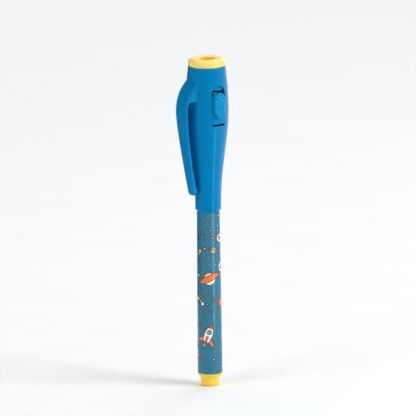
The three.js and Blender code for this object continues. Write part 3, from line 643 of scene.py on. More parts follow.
def clear_resin(name):
    """Cast resin of the lamp's lens, a little cloudy inside."""
    finish = Finish(name, 0.06, Transmission_Weight=0.9, IOR=1.5)
    finish.clouded(finish.noise(1.5 * MM, 2), seen((0.9, 0.92, 0.97)), seen((0.97, 0.98, 1.0)))
    finish.relief(finish.noise(0.8 * MM, 1), 0.03, 0.03 * MM)
    return finish.material


class MARKER_OT_barrel(bpy.types.Operator):
    """Turn the barrel, the end plug, the nib section and the nib"""

    bl_idname = "marker.barrel"
    bl_label = "Barrel and plug"

    def execute(self, context):
        barrel = context.scene.marker_barrel
        colours = context.scene.marker_finish
        yellow = glowing_plastic("plug_plastic", colours.plug, 0.32, 0.12)
        # Blue plastic painted lighter than the cap's, as a painted highlight.
        blue = moulded_plastic("barrel_plastic", colours.barrel, 0.28)
        fibre = soft_fibre("nib_fibre", (0.96, 0.96, 0.93), 0.08 * MM)
        nib_facets = 48
        for node, outline, facets, material, slot in (
            ("barrel_tube", tube_outline(barrel), barrel.facets, blue, "blue_plastic"),
            ("end_plug", plug_outline(barrel), barrel.facets, yellow, "yellow_plastic"),
            ("nib_section", section_outline(barrel), barrel.facets, yellow, "yellow_plastic"),
            ("fibre_nib", nib_outline(barrel), nib_facets, fibre, "fibre"),
        ):
            piece = turned(f"{node}_smooth", outline, facets)
            smooth(piece)
            hand_over(piece, material, slot, "barrel", node)
        return {"FINISHED"}


def tube_outline(barrel):
    """The barrel's wall, tapering towards the front."""
    low, high = TUBE_LOW.z, TUBE_HIGH.z
    rear, front = bare_radius(low), bare_radius(high)
    outside = [*near((rear, low), (-0.1, 0), (0, 0.1)), *near((front, high), (0, -0.1), (-0.1, 0))]
    return [*outside, (front - barrel.wall, high), (rear - barrel.wall, low)]


def plug_outline(barrel):
    """The end plug: a foot with a rounded edge, a slope, a collar and a hollow spigot."""
    foot, neck, edge = barrel.plug_radius, barrel.plug_height, barrel.plug_edge
    slope_top = neck + barrel.plug_slope
    collar = barrel.rear_radius
    spigot = bare_radius(TUBE_LOW.z) - barrel.wall - barrel.film_gap
    spigot_wall = 1.1 * MM
    hollow = spigot - spigot_wall
    return [
        (0, 0),
        *arc((foot - edge, edge), edge, edge, -90, 0, 10),
        *near((foot, neck), (0, -0.35), (0.05, -0.12), (0.22, 0.06)),
        *near((collar, slope_top), (-0.2, -0.05), (-0.05, 0.06), (0, 0.2)),
        *near((collar, TUBE_LOW.z), (0, -0.15), (-0.1, -0.05)),
        *near((spigot, TUBE_LOW.z), (-0.1, -0.05)),
        *near((spigot, PLUG_HIGH.z), (-0.15, -0.6), (-0.45, 0)),
        (hollow, PLUG_HIGH.z),
        *near((hollow, neck), (-0.2, 0)),
        (0, neck),
    ]


def section_outline(barrel):
    """The nib section: a spigot in the barrel, a collar, a sealing band, a bowed cone and a nose."""
    collar, land, nose = barrel.section_collar, barrel.section_land, barrel.nose_radius
    land_height, nose_height = 3.9 * MM, 0.6 * MM
    inner_gap, step_height, step_depth = 0.35 * MM, 0.3 * MM, 0.35 * MM
    collar_low = TUBE_HIGH.z + barrel.film_gap
    collar_top = INNER_LOW.z - inner_gap
    land_top = collar_top + land_height
    nose_z = SECTION_HIGH.z - nose_height
    cone_low, cone_radius = land_top + step_height, land - step_depth
    chamber = bare_radius(TUBE_HIGH.z) - barrel.wall - MM
    spigot = bare_radius(TUBE_HIGH.z) - barrel.wall - barrel.film_gap
    bore = barrel.nib_radius + barrel.film_gap
    bow = 1.25
    cone = [
        (blend(nose, cone_radius, (1 - t) ** bow), blend(cone_low, nose_z, t))
        for t in steps_between(0, 1, 14)
    ]
    return [
        (chamber, SECTION_LOW.z),
        *near((spigot, SECTION_LOW.z), (-0.25, 0), (0, 0.6)),
        (spigot, collar_low),
        (collar, collar_low),
        *near((collar, collar_top), (0, -0.3), (-0.25, 0)),
        *near((land, collar_top), (-0.12, 0)),
        (land, (collar_top + land_top) / 2),
        *near((land, land_top), (-0.12, 0)),
        *cone,
        *near((nose, SECTION_HIGH.z), (-0.1, -0.2), (-0.3, 0)),
        (bore, SECTION_HIGH.z),
        *near((bore, TUBE_HIGH.z), (0, -1)),
        *near((chamber, TUBE_HIGH.z), (0, -2)),
    ]


def nib_outline(barrel):
    """The fibre nib with its rounded point."""
    radius, point = barrel.nib_radius, 2 * MM
    tip = arc((0, NIB_HIGH.z - point), radius, point, 0, 90, 14)
    return [(0, NIB_LOW.z), *near((radius, NIB_LOW.z), (-0.3, 0), (0, 0.8)), *tip]


class MARKER_OT_film(bpy.types.Operator):
    """Lay out the printed film flat, bend it round the barrel and taper it"""

    bl_idname = "marker.film"
    bl_label = "Printed film"

    slice_width = 0.55 * MM
    outline_width = 0.26 * MM
    layer = 0.014 * MM
    print_depth = 0.08 * MM
    dots_wanted = 150
    dot_tries = 5200
    dot_radius = 0.5

    def execute(self, context):
        colours = context.scene.marker_finish
        self.materials = [printed_ground("film_ground", colours.film, colours.film_shade)]
        self.materials += [printed_ink(f"{ink}_ink", getattr(colours, ink)) for ink in INKS]
        self.base_radius = barrel_radius(0)
        self.width = FULL_TURN * self.base_radius
        self.shapes = []
        self.motifs()
        self.dots()
        piece = self.rolled(self.flat_sheet())
        smooth(piece)
        hand_over(piece, None, "printed_film", "barrel", "barrel_sleeve")
        return {"FINISHED"}

    def use_ink(self, obj, ink):
        """Gives the selected faces an ink."""
        obj.active_material_index = 1 + list(INKS).index(ink)
        bpy.ops.object.material_slot_assign()

    def shape(self, outline, rim, fill, layer=1):
        """A flat printed shape at the origin, with a dark rim round its fill."""
        points = [(x * MM, 0, z * MM) for x, z in outline]
        obj = drawn_line("printed_shape", points + points[:1])
        bpy.ops.mesh.edge_face_add()
        bpy.ops.mesh.normals_make_consistent(inside=False)
        for material in self.materials:
            obj.data.materials.append(material)
        self.use_ink(obj, rim)
        if fill != rim:
            bpy.ops.mesh.inset(thickness=self.outline_width, depth=0)
            self.use_ink(obj, fill)
        object_mode()
        if obj.data.polygons[0].normal.y > 0:
            obj.data.flip_normals()
        obj.location.y = -layer * self.layer
        self.shapes.append(obj)
        return obj

    @staticmethod
    def place(parts, x, z, turn=0):
        """Moves shapes from the origin to their place on the flat film, turned in degrees."""
        for obj in parts:
            obj.rotation_euler.y = math.radians(turn)
            obj.location.x = x * MM
            obj.location.z = z * MM

    def disc(self, radius, rim, fill, layer=1, middle=(0, 0), steps=20):
        """A round shape."""
        return self.shape(arc(middle, radius, radius, 0, 360 - 360 / steps, steps - 1), rim, fill, layer)

    def star(self, radius, fill, points=5, waist=0.5):
        """A star whose inner corners lie at a share of its reach."""
        reaches = (radius, radius * waist) * points
        turns = [math.pi / 2 + i * math.pi / points for i in range(2 * points)]
        corners = [(reach * math.cos(turn), reach * math.sin(turn)) for reach, turn in zip(reaches, turns)]
        return [self.shape(corners, "navy", fill)]

    def burst(self, radius, fill, core_radius, core):
        """A star of eight points with a round core."""
        return self.star(radius, fill, 8, 0.62) + [self.disc(core_radius, core, core, 3)]

    def rings(self, radius, *fills):
        """Rings of several colours inside each other."""
        step = radius / (len(fills) + 0.4)
        rims = ("navy", *fills[1:])
        return [self.disc(radius - i * step, rims[i], fill, 1 + i) for i, fill in enumerate(fills)]

    def planet(self, radius, fill, band, ring):
        """A ball with two bands and a tilted ring that passes behind its upper half."""
        lower = arc((0, 0), radius, radius, 180, 360, 16)
        upper = arc((0, 0), radius, radius, 0, 180, 16)
        inside, rise = radius * 0.93, radius * 0.42 * 0.9
        stripe = arc((0, 0), inside, inside, 200, 340, 12)
        stripe += [(x, z + rise) for x, z in reversed(arc((0, 0), inside, radius * 0.75, 205, 335, 12))]
        wide, thin = radius * 1.75, radius * 0.5
        hoop = arc((0, 0), wide, thin, 0, 360, 36)
        hoop += reversed(arc((0, 0), wide * 0.78, thin * 0.5, 0, 360, 36))
        return [
            self.shape(lower, "navy", fill, 1),
            self.shape(stripe, band, band, 2),
            self.shape(hoop, "navy", ring, 3),
            self.shape(upper, "navy", fill, 4),
            self.shape(arc((0, radius * 0.1), radius * 0.8, radius * 0.62, 20, 160, 10), band, band, 5),
        ]

    def moon(self, radius, fill):
        """A crescent with a crater."""
        outer = arc((0, 0), radius, radius, 74, 286, 22)
        inner = arc((radius * 0.42, 0), radius * 0.78, radius * 0.78, 255, 105, 18)
        crater = self.disc(radius * 0.13, "navy", "navy", 3, (-radius * 0.68, radius * 0.1), 10)
        return [self.shape(outer + inner, "navy", fill, 1), crater]

    def rocket(self, size, body, nose, fins, window):
        """A rocket that points up: ogive body, nose, two side fins, a middle fin and a round window."""
        half, foot = size * 0.2, -size * 0.34
        right = [(half * (1 - t**2.2), blend(foot * 0.1, size * 0.5, t)) for t in steps_between(0, 0.97, 8)]
        side = [(half * 0.72, foot), *right]
        tip = [(x, z) for x, z in right if z > size * 0.26]
        fin = scaled(half, foot, (0.75, 0.25), (2.0, 0.95), (1.9, 1.4), (0.6, 0.95))
        keel = scaled(half, foot, (0.22, 0.2), (0.22, 1.3), (-0.22, 1.3), (-0.22, 0.2))
        flame = scaled(half, foot, (0.55, 1), (0, 1.95), (-0.55, 1))
        return [
            self.shape(flame, "navy", "yellow", 1),
            self.shape(fin, "navy", fins, 2),
            self.shape(mirrored(fin), "navy", fins, 2),
            self.shape(side + mirrored(side), "navy", body, 3),
            self.shape(tip + mirrored(tip), "navy", nose, 4),
            self.shape(keel, "navy", fins, 5),
            self.disc(half * 0.52, "navy", window, 5, (0, size * 0.12), 16),
        ]

    def comet(self, size, head, tail):
        """A round head with a striped tail that tapers away."""
        streak = scaled(size, size, (0.08, 0.17), (0.85, 0.03), (0.85, -0.03), (0.08, -0.17))
        thin = scaled(size, size, (0.3, 0.04), (0.62, 0), (0.3, -0.04))
        return [
            self.shape(streak, "navy", tail, 1),
            self.shape(thin, "cream", "cream", 2),
            self.disc(size * 0.22, "navy", head, 3, (0, 0), 16),
        ]

    def motifs(self):
        """The larger motifs: place round and up the barrel in mm, turn in degrees, kind, size and inks."""
        for x, z, turn, motif, *look in (
            (-3.1, 48.6, -24, self.planet, 3.0, "red", "cream", "orange"),
            (-3.9, 23.4, 22, self.rocket, 10.4, "cream", "red", "orange", "teal"),
            (2.8, 66.2, 0, self.rings, 2.1, "orange", "cream", "teal", "magenta"),
            (-7.9, 60.6, 128, self.comet, 4.6, "yellow", "ochre"),
            (-1.0, 61.3, 18, self.planet, 1.35, "silver", "cream", "ochre"),
            (3.2, 37.4, 0, self.burst, 2.9, "red", 1.1, "orange"),
            (-6.6, 37.2, 232, self.comet, 4.4, "cream", "silver"),
            (4.3, 53.2, -18, self.moon, 2.6, "cream"),
            (-9.3, 49.6, 12, self.star, 1.7, "yellow"),
            (4.9, 21.6, 0, self.rings, 1.6, "magenta", "cream", "red"),
            (11.3, 62.4, -28, self.rocket, 9.6, "silver", "orange", "red", "yellow"),
            (11.8, 29.4, 20, self.planet, 2.8, "orange", "yellow", "cream"),
            (12.4, 46.2, 24, self.moon, 2.4, "yellow"),
            (-11.9, 15.6, -16, self.rocket, 9.6, "cream", "orange", "magenta", "teal"),
            (-12.2, 40.2, 16, self.planet, 2.6, "magenta", "cream", "yellow"),
            (-12.6, 69.6, 0, self.burst, 2.6, "orange", 1.0, "yellow"),
            (12.0, 13.0, 40, self.comet, 4.4, "red", "orange"),
            (8.6, 11.6, 30, self.star, 1.5, "cream"),
            (1.5, 71.8, 10, self.star, 1.2, "silver"),
        ):
            self.place(motif(*look), x, z, turn)

    def dots(self):
        """Small dots of all the inks in the room between the motifs."""
        spread = random.Random(11)
        motifs = self.shapes[:]
        fills = ("yellow", "red", "magenta", "cream", "ochre", "silver", "brown", "ochre", "yellow", "red")
        masters = [self.disc(self.dot_radius, "navy", fill, 1, (0, 0), 12) for fill in fills]
        taken = [self.footprint(obj) for obj in motifs]
        made = []
        for _ in range(self.dot_tries):
            if len(made) == self.dots_wanted:
                break
            size = spread.choice((0.42, 0.55, 0.68, 0.8, 0.95))
            x = spread.uniform(-self.width / 2 + MM, self.width / 2 - MM) / MM
            z = spread.uniform(SLEEVE_LOW.z + MM, SLEEVE_HIGH.z - MM) / MM
            if self.is_clear(x, z, size, taken, made):
                made.append((x, z, size))
        dots = []
        for i, (x, z, size) in enumerate(made):
            dot = copy_of(masters[i % len(masters)])
            dot.scale = (size / self.dot_radius, 1, size / self.dot_radius)
            self.place([dot], x, z)
            dots.append(dot)
        for master in masters:
            bpy.data.objects.remove(master)
        self.shapes = motifs + dots

    @staticmethod
    def footprint(obj):
        """Middle and reach of a placed shape on the flat film, in millimetres."""
        bpy.context.view_layer.update()
        corners = [obj.matrix_world @ Vector(corner) / MM for corner in obj.bound_box]
        (left, right), (low, high) = (
            (min(values), max(values)) for values in ([c.x for c in corners], [c.z for c in corners])
        )
        return (left + right) / 2, (low + high) / 2, max(right - left, high - low) / 2

    @staticmethod
    def is_clear(x, z, size, taken, made):
        """Whether a dot keeps its distance from the motifs and from the dots made before it."""
        motif_gap, dot_gap = 0.35, 1.75
        if any(math.hypot(x - tx, z - tz) < reach * 0.92 + size + motif_gap for tx, tz, reach in taken):
            return False
        return all(math.hypot(x - mx, z - mz) > dot_gap + size + other for mx, mz, other in made)

    def flat_sheet(self):
        """The ground and the shapes on it, cut into narrow strips that can bend."""
        low = (-self.width / 2, 0, SLEEVE_LOW.z)
        high = (self.width / 2, settings("barrel").film, SLEEVE_HIGH.z)
        ground = block("film_ground_sheet", low, high)
        for material in self.materials:
            ground.data.materials.append(material)
        edit(ground)
        mesh = bmesh.from_edit_mesh(ground.data)
        for face in mesh.faces:
            face.select_set(abs(face.normal.x) > 0.5)
        bmesh.update_edit_mesh(ground.data)
        bpy.ops.mesh.delete(type="FACE")
        prints = settle(join("print", *self.shapes))
        if max(abs(vertex.co.x) for vertex in prints.data.vertices) > self.width / 2:
            raise RuntimeError("a printed shape reaches past the film's seam")
        for obj in (prints, ground):
            self.slice(obj)
        use_modifier(prints, "SOLIDIFY", thickness=self.print_depth, offset=-1)
        return join("printed_film", ground, prints)

    def slice(self, obj):
        """Cuts the sheet along its height at every strip."""
        edit(obj)
        bpy.ops.mesh.quads_convert_to_tris()
        strips = round(self.width / self.slice_width)
        for x in steps_between(-self.width / 2, self.width / 2, strips)[1:-1]:
            bpy.ops.mesh.select_all(action="SELECT")
            bpy.ops.mesh.bisect(plane_co=(x, 0, 0), plane_no=(1, 0, 0))
        object_mode()

    def rolled(self, sheet):
        """The flat sheet bent into a tube about the pen's axis and tapered as the barrel is."""
        deform(sheet, "BEND", angle=FULL_TURN)
        sheet.location.y = -self.base_radius
        settle(sheet)
        front_radius = barrel_radius(SLEEVE_HIGH.z - SLEEVE_LOW.z)
        deform(sheet, "TAPER", factor=(front_radius - self.base_radius) / self.base_radius)
        edit(sheet)
        bpy.ops.mesh.remove_doubles(threshold=SAME_POINT)
        object_mode()
        return sheet


class MARKER_OT_cap(bpy.types.Operator):
    """Turn the cap's shell, join the pocket clip to it and cut its bore, slot, recess and sockets"""

    bl_idname = "marker.cap"
    bl_label = "Cap and clip"

    def execute(self, context):
        cap = context.scene.marker_cap
        switch = context.scene.marker_switch
        shell = cap_outside("cap_and_clip", cap)
        combine(shell, "UNION", pocket_clip(cap))
        combine(shell, "DIFFERENCE", cap_cavity(cap))
        combine(shell, "DIFFERENCE", thumb_recess(cap, switch))
        combine(shell, "DIFFERENCE", switch_slot(switch))
        combine(shell, "DIFFERENCE", pivot_sockets(switch))
        smooth(shell, 32)
        blue = moulded_plastic("cap_plastic", context.scene.marker_finish.cap, 0.22)
        hand_over(shell, blue, "blue_plastic", "cap", "cap_shell")
        return {"FINISHED"}


def cap_outside(name, cap, inset=0):
    """A solid of the cap's outside, or of what lies that far under it."""
    low, high = SHELL_LOW.z, SHELL_HIGH.z
    edge = cap.edge
    soft = edge * 0.3
    rows = [(cap_radius(z) - inset, z) for z in steps_between(low + edge, high - edge, 72)]
    if not inset:
        rim = [(cap_radius(low) - edge, low), (cap_radius(low) - soft, low + soft)]
        mouth = [(cap_radius(high) - soft, high - soft), (cap_radius(high) - edge, high)]
        rows = rim + rows + mouth
    return turned(name, [(0, low), *rows, (0, high)], cap.facets)


def cap_cavity(cap):
    """The cap's bore: a rim round the barrel, a ledge, a flare and a straight bore for the lamp."""
    ledge = INNER_LOW.z - PRESS_GAP
    bore, foot = cap_bore(), CARRIER_LOW.z
    chamfer, step_height = 0.25 * MM, 0.3 * MM
    heights = steps_between(ledge, foot - step_height, 20)
    return turned("cap_cavity", [
        (0, SHELL_LOW.z - MM),
        (cap.rim_bore + chamfer, SHELL_LOW.z - MM),
        (cap.rim_bore + chamfer, SHELL_LOW.z),
        (cap.rim_bore, SHELL_LOW.z + 2 * chamfer),
        (cap.rim_bore - PRESS_GAP, ledge),
        *[(min(bore, cap_radius(z) - cap.flare_wall), z) for z in heights],
        (bore, foot),
        (bore, SHELL_HIGH.z + MM),
        (0, SHELL_HIGH.z + MM),
    ], cap.facets)


def pocket_clip(cap):
    """The pocket clip: its side outline as a filled curve with rounded edges, tapered towards the tip."""
    clear_selection()
    bpy.ops.curve.primitive_bezier_curve_add(location=(0, 0, 0))
    curve = named("pocket_clip")
    data = curve.data
    data.dimensions = "2D"
    data.fill_mode = "BOTH"
    data.resolution_u = 14
    data.extrude = cap.clip_tip_width / 2 - cap.clip_edge
    data.bevel_depth = cap.clip_edge
    data.bevel_resolution = 4
    data.offset = -cap.clip_edge
    lay_outline(data.splines[0], *clip_outline(cap))
    pick(curve)
    bpy.ops.object.convert(target="MESH")
    clip = bpy.context.object
    clip.rotation_euler.x = math.pi / 2
    edit(settle(clip))
    close_up(2 * SAME_POINT)
    deform(clip, "TAPER", factor=cap.clip_root_width / cap.clip_tip_width - 1, lock_x=True)
    round_tip(clip, cap.clip_tip_width / 2)
    clip.location.z = SHELL_HIGH.z - cap.clip_root_drop - cap.clip_length
    return settle(clip)


def round_tip(clip, nose):
    """Draws the clip's sides in round its tip."""
    pick(clip)
    bpy.ops.object.mode_set(mode="EDIT")
    drawn = 1.0
    for share in (0.9, 0.75, 0.6, 0.45, 0.32, 0.2, 0.1, 0.04):
        wanted = 0.5 + 0.5 * math.sqrt(1 - (1 - share) ** 2)
        mesh = bmesh.from_edit_mesh(clip.data)
        for vertex in mesh.verts:
            vertex.select_set(vertex.co.z < nose * share)
        mesh.select_flush(True)
        bmesh.update_edit_mesh(clip.data)
        bpy.ops.transform.resize(value=(1, wanted / drawn, 1), center_override=(0, 0, 0))
        drawn = wanted
    object_mode()


def clip_outline(cap):
    """The clip from the side: a start, then handles and ends, measured from the axis and the tip."""
    root_top = cap.clip_length
    slot_top = root_top - cap.clip_root_height
    bulge = slot_top - cap.clip_bulge_drop
    tip_z = SHELL_HIGH.z - cap.clip_root_drop - cap.clip_length
    wall = math.sqrt(cap_radius(tip_z + root_top) ** 2 - (cap.clip_root_width / 2) ** 2)
    root_sink, tip_lean = 0.3 * MM, 0.1 * MM
    root = wall - cap.clip_edge - root_sink
    reach, tip_reach = cap.clip_reach, cap.clip_tip_reach
    inner, inner_tip = reach - cap.clip_thickness, tip_reach - cap.clip_thickness
    inner_bend = blend(inner_tip, inner, 0.42)
    bead_top, bead = cap.clip_bead_length, cap.clip_bead_length * 0.45
    arm, fall = bulge - bead_top, root_top - bulge
    grip = inner_tip - cap.clip_bead
    corner = (inner, slot_top)
    under = (inner - cap.clip_fillet, slot_top)
    below = (inner, slot_top - cap.clip_fillet * 1.6)
    tip = ((grip + tip_reach) / 2, 0)
    start = (root, slot_top)
    return start, [
        (start, under, under),
        bent(under, corner, below),
        ((inner, bulge - arm * 0.27), (inner_bend, bead_top + arm * 0.27), (inner_tip, bead_top)),
        bent((inner_tip, bead_top), (grip, bead_top - cap.clip_bead), (grip, bead)),
        bent((grip, bead), (grip, 0), tip),
        bent(tip, (tip_reach - tip_lean, 0), (tip_reach, bead)),
        ((blend(tip_reach, reach, 0.37), bead + arm * 0.3), (reach, bulge - arm * 0.19), (reach, bulge)),
        ((reach, bulge + fall * 0.49), (blend(root, reach, 0.54), root_top - fall * 0.18), (root, root_top)),
        ((root, root_top), start, start),
    ]


def bent(start, middle, end):
    """Handles and end of a simple curve between two points that leans on a third."""
    first = tuple(blend(a, b, 2 / 3) for a, b in zip(start, middle))
    second = tuple(blend(a, b, 2 / 3) for a, b in zip(end, middle))
    return first, second, end


def lay_outline(spline, start, runs):
    """Sets a closed spline to a start and its handles and ends, with the distance from the axis along -X."""
    spline.bezier_points.add(len(runs) - len(spline.bezier_points))
    corners = [start] + [run[2] for run in runs[:-1]]
    for i, (point, corner) in enumerate(zip(spline.bezier_points, corners)):
        point.handle_left_type = "FREE"
        point.handle_right_type = "FREE"
        before, after = runs[i - 1][1], runs[i][0]
        for name, (away, up) in (("co", corner), ("handle_right", after), ("handle_left", before)):
            setattr(point, name, (-away, up, 0))
    spline.use_cyclic_u = True


def switch_slot(switch):
    """The slot round the lever, whose lower face falls away to the inside."""
    half = switch.width / 2 + switch.side_gap
    low = LEVER_LOW.z - switch.bottom_gap
    high = LEVER_HIGH.z - switch.lip_rise
    inside = cap_bore() * 0.8
    outline = [(-half, low), (half, low), (half, high), (-half, high)]
    cutter = prism("switch_slot", outline, -SHELL_HIGH.y - OVERSHOOT, -inside)
    face = cap_radius(low)
    drop = (face - inside) * switch.draft
    outline = [(-face, low), (-inside, low - drop), (-inside, low + MM), (-face, low + MM)]
    combine(cutter, "UNION", quarter_turned(prism("slot_draft", outline, -half, half)))
    return cutter


def quarter_turned(obj):
    """A prism whose outline's X now runs along Y."""
    obj.rotation_euler.z = math.pi / 2
    return settle(obj)


def thumb_recess(cap, switch):
    """The thumb recess: an arch cut to an even depth under the surface."""
    half = switch.width / 2 + switch.side_gap + switch.scoop_side
    slot_top = LEVER_HIGH.z - switch.lip_rise
    low = slot_top - switch.scoop_down
    high = slot_top + switch.scoop_up
    crown = half * 0.95
    outline = [(-half, low), (half, low), *arc((0, high - crown), half, crown, 0, 180, 28)]
    cutter = prism("thumb_recess", outline, -SHELL_HIGH.y - OVERSHOOT, -switch.pivot_depth)
    combine(cutter, "DIFFERENCE", cap_outside("recess_floor", cap, switch.scoop_depth))
    return cutter


def pivot_sockets(switch):
    """The holes that the lever's pivot stubs turn in."""
    reach = switch.width / 2 + switch.pivot_stub + switch.pivot_play
    radius = switch.pivot_radius + switch.pivot_play
    return rod_along_x("pivot_sockets", radius, reach, -switch.pivot_depth, LEVER_LOW.z + switch.pivot_up)


class MARKER_OT_switch(bpy.types.Operator):
    """Build the switch lever with its domed pad and diamonds, and the sprung leaf behind it"""

    bl_idname = "marker.switch"
    bl_label = "Switch lever"

    def execute(self, context):
        switch = context.scene.marker_switch
        cap = context.scene.marker_cap
        colours = context.scene.marker_finish
        top = LEVER_HIGH.z - switch.lip_rise - switch.top_gap
        blue = moulded_plastic("switch_plastic", colours.cap, 0.3)
        # The diamonds get a colour painted paler as highlight, and the pad's face between them one painted
        # darker as shade.
        crests = moulded_plastic("switch_crests", colours.crests, 0.24)
        grooves = moulded_plastic("switch_grooves", colours.grooves, 0.4)
        parts = [lever_plate(cap, switch, top), *hidden_parts(switch, top)]
        for part in parts:
            part.data.materials.append(blue)
        parts.append(thumb_pad(switch, top, (blue, grooves)))
        lever = join("switch_lever_pad", *parts, pad_diamonds(switch, top, crests))
        smooth(lever, 32)
        hand_over(lever, None, "blue_plastic", "lever", "switch_lever")
        sprung_leaf(switch)
        return {"FINISHED"}


def sprung_leaf(switch):
    """The sprung leaf behind the stem, held at its tab."""
    thick = switch.leaf_thickness
    straight_foot, moved_foot, edge = 1.2 * MM, 2.2 * MM, 0.05 * MM
    face = LEAF_LOW.y + switch.leaf_bow + thick
    stem_z = CARRIER_HIGH.z - switch.stem_drop
    bow_low = LEAF_LOW.z + straight_foot
    bend = thick * 0.8
    corner = (face + bend, LEAF_HIGH.z - thick - bend)
    rows = [(face + thick / 2, LEAF_LOW.z)]
    for t in steps_between(0, 1, 12):
        rows.append((face - switch.leaf_bow * math.sin(math.pi * t), blend(bow_low, stem_z, t)))
    rows += [(face, z) for z in steps_between(stem_z, corner[1], 8)[1:-1]]
    inner = [*rows, *arc(corner, bend, bend, 180, 90, 5), (LEAF_HIGH.y, LEAF_HIGH.z - thick)]
    outer = [(y - thick, z) for y, z in rows]
    outer += [*arc(corner, bend + thick, bend + thick, 180, 90, 5), (LEAF_HIGH.y, LEAF_HIGH.z)]
    strip = quarter_turned(prism("leaf_strip", [*inner, *reversed(outer)], LEAF_LOW.x, LEAF_HIGH.x))
    soften(strip, edge)
    root, point = switch.pip * 2, switch.pip
    place = (0, face + point / 2 - thick / 4, stem_z)
    pip = stump("leaf_pip", 32, root, point, point + thick / 2, place, (-math.pi / 2, 0, 0))
    soften(pip, point / 4, 3, 30)
    piece = join("switch_leaf_strip", strip, pip)
    smooth(piece)
    # Painted shade: the brass is painted darker and greyer than brass, for the shade it lies in behind the
    # slit.
    piece.data.materials.append(bright_metal("leaf_brass", (0.46, 0.44, 0.36), 0.36, 0.3 * MM, (6, 1, 1)))
    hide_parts("switch_leaf")
    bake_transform(piece)


def lever_plate(cap, switch, top):
    """The lever's plate, an arch cut out of the cap's own curve."""
    half = switch.width / 2
    foot_gap, edge = 0.2 * MM, 0.1 * MM
    low = LEVER_LOW.z + foot_gap
    outline = [(-half, low), (half, low), *arc((0, top - switch.crown), half, switch.crown, 0, 180, 24)]
    plate = prism("lever_plate", outline, -SHELL_HIGH.y - OVERSHOOT, -switch.pivot_depth)
    rows = [(cap_radius(z), z) for z in steps_between(low - MM, top + MM, 24)]
    back = [(radius - switch.thickness, z) for radius, z in reversed(rows)]
    combine(plate, "INTERSECT", turned("lever_curve", rows + back, cap.facets))
    soften(plate, edge)
    return plate


def pad_outline(switch, middle, facets=72):
    """The pad's oval, squarer at its upper end."""
    points = []
    for i in range(facets):
        cos, sin = math.cos(i * FULL_TURN / facets), math.sin(i * FULL_TURN / facets)
        power = 0.72 if sin > 0 else 1
        x = math.copysign(abs(cos) ** power, cos) * switch.width / 2
        z = math.copysign(abs(sin) ** power, sin) * switch.pad_height / 2
        points.append((x, 0, middle + z))
    return points


def thumb_pad(switch, top, materials):
    """The domed pad: an oval raised in steps from a flat sheet, then laid on the cap's curve."""
    middle = top - switch.pad_height / 2
    points = pad_outline(switch, middle)
    pad = drawn_line("thumb_pad", points + points[:1])
    bpy.ops.mesh.edge_face_add()
    extrude((0, -PAD_SKIRT, 0))
    for material in materials:
        pad.data.materials.append(material)
    levels = ((1.0, 0.5), (0.985, 0.2), (0.955, 0.14), (0.91, 0.1), (0.86, 0.06))
    before = 1.0
    for scale, share_of_rise in levels:
        extrude((0, -share_of_rise * switch.pad_rise, 0))
        bpy.ops.transform.resize(value=(scale / before, 1, scale / before), center_override=(0, 0, middle))
        before = scale
    # The top face between the diamonds gets the colour painted darker as shade.
    pad.active_material_index = 1
    bpy.ops.object.material_slot_assign()
    bpy.ops.mesh.select_all(action="SELECT")
    bpy.ops.mesh.normals_make_consistent(inside=False)
    cut_across()
    return laid_on_cap(pad, switch)


def cut_across():
    """Cuts crossing lines over the flat pad that is edited, so that it can follow the cap."""
    column, row, middle_drop, lines = 0.55 * MM, 1.05 * MM, 7.4 * MM, 5
    middle = LEVER_HIGH.z - middle_drop
    for i in range(-lines, lines + 1):
        for normal, place in (((1, 0, 0), (i * column, 0, 0)), ((0, 0, 1), (0, 0, middle - i * row))):
            bpy.ops.mesh.select_all(action="SELECT")
            bpy.ops.mesh.bisect(plane_co=place, plane_no=normal)
    object_mode()


def pad_diamonds(switch, top, crests):
    """Low four-sided studs on crossed diagonals, over all but the pad's border."""
    pitch, sink = switch.diamond_pitch, PRESS_GAP
    middle = top - switch.pad_height / 2
    half_width, half_height = switch.width / 2 * 0.82, switch.pad_height / 2 * 0.86
    depth = -switch.pad_rise - PAD_SKIRT - switch.diamond_rise / 2 + sink
    height = switch.diamond_rise + 2 * sink
    stud = stump("diamond", 4, pitch * 0.42, pitch * 0.2, height, (0, 0, 0), (math.pi / 2, 0, 0))
    columns = int(switch.width / pitch) + 1
    rows = int(switch.pad_height / pitch) + 1
    studs = []
    for row in range(-rows, rows + 1):
        for column in range(-columns, columns + 1):
            x = (column + 0.5 * (row % 2)) * pitch
            z = row * pitch * 0.5
            power = 2.5 if z > 0 else 2.0
            if abs(x / half_width) ** power + abs(z / half_height) ** power < 1:
                copied = copy_of(stud)
                copied.location = (x, depth, middle + z)
                studs.append(copied)
    bpy.data.objects.remove(stud)
    field = settle(join("pad_diamonds", *studs))
    # The studs get the colour painted paler as highlight.
    field.data.materials.append(crests)
    return laid_on_cap(field, switch)


def laid_on_cap(obj, switch):
    """Lays a flat piece on the cap's curve with a lattice, its depth becoming height over the surface."""
    clear_selection()
    reach = switch.width / 2 + 0.2 * MM
    low = Vector((-reach, -2 * MM, LEVER_LOW.z - MM))
    high = Vector((reach, MM, LEVER_HIGH.z))
    bpy.ops.object.add(type="LATTICE", location=(low + high) / 2)
    cage = bpy.context.object
    cage.scale = high - low
    data = cage.data
    data.points_u, data.points_v, data.points_w = 17, 2, 33
    for axis in "uvw":
        setattr(data, f"interpolation_type_{axis}", "KEY_LINEAR")
    bpy.context.view_layer.update()
    back = cage.matrix_world.inverted()
    for point in data.points:
        flat = cage.matrix_world @ point.co
        radius = cap_radius(flat.z) - flat.y
        point.co_deform = back @ Vector((flat.x, -math.sqrt(radius**2 - flat.x**2), flat.z))
    use_modifier(obj, "LATTICE", object=cage)
    bpy.data.objects.remove(cage)
    return obj


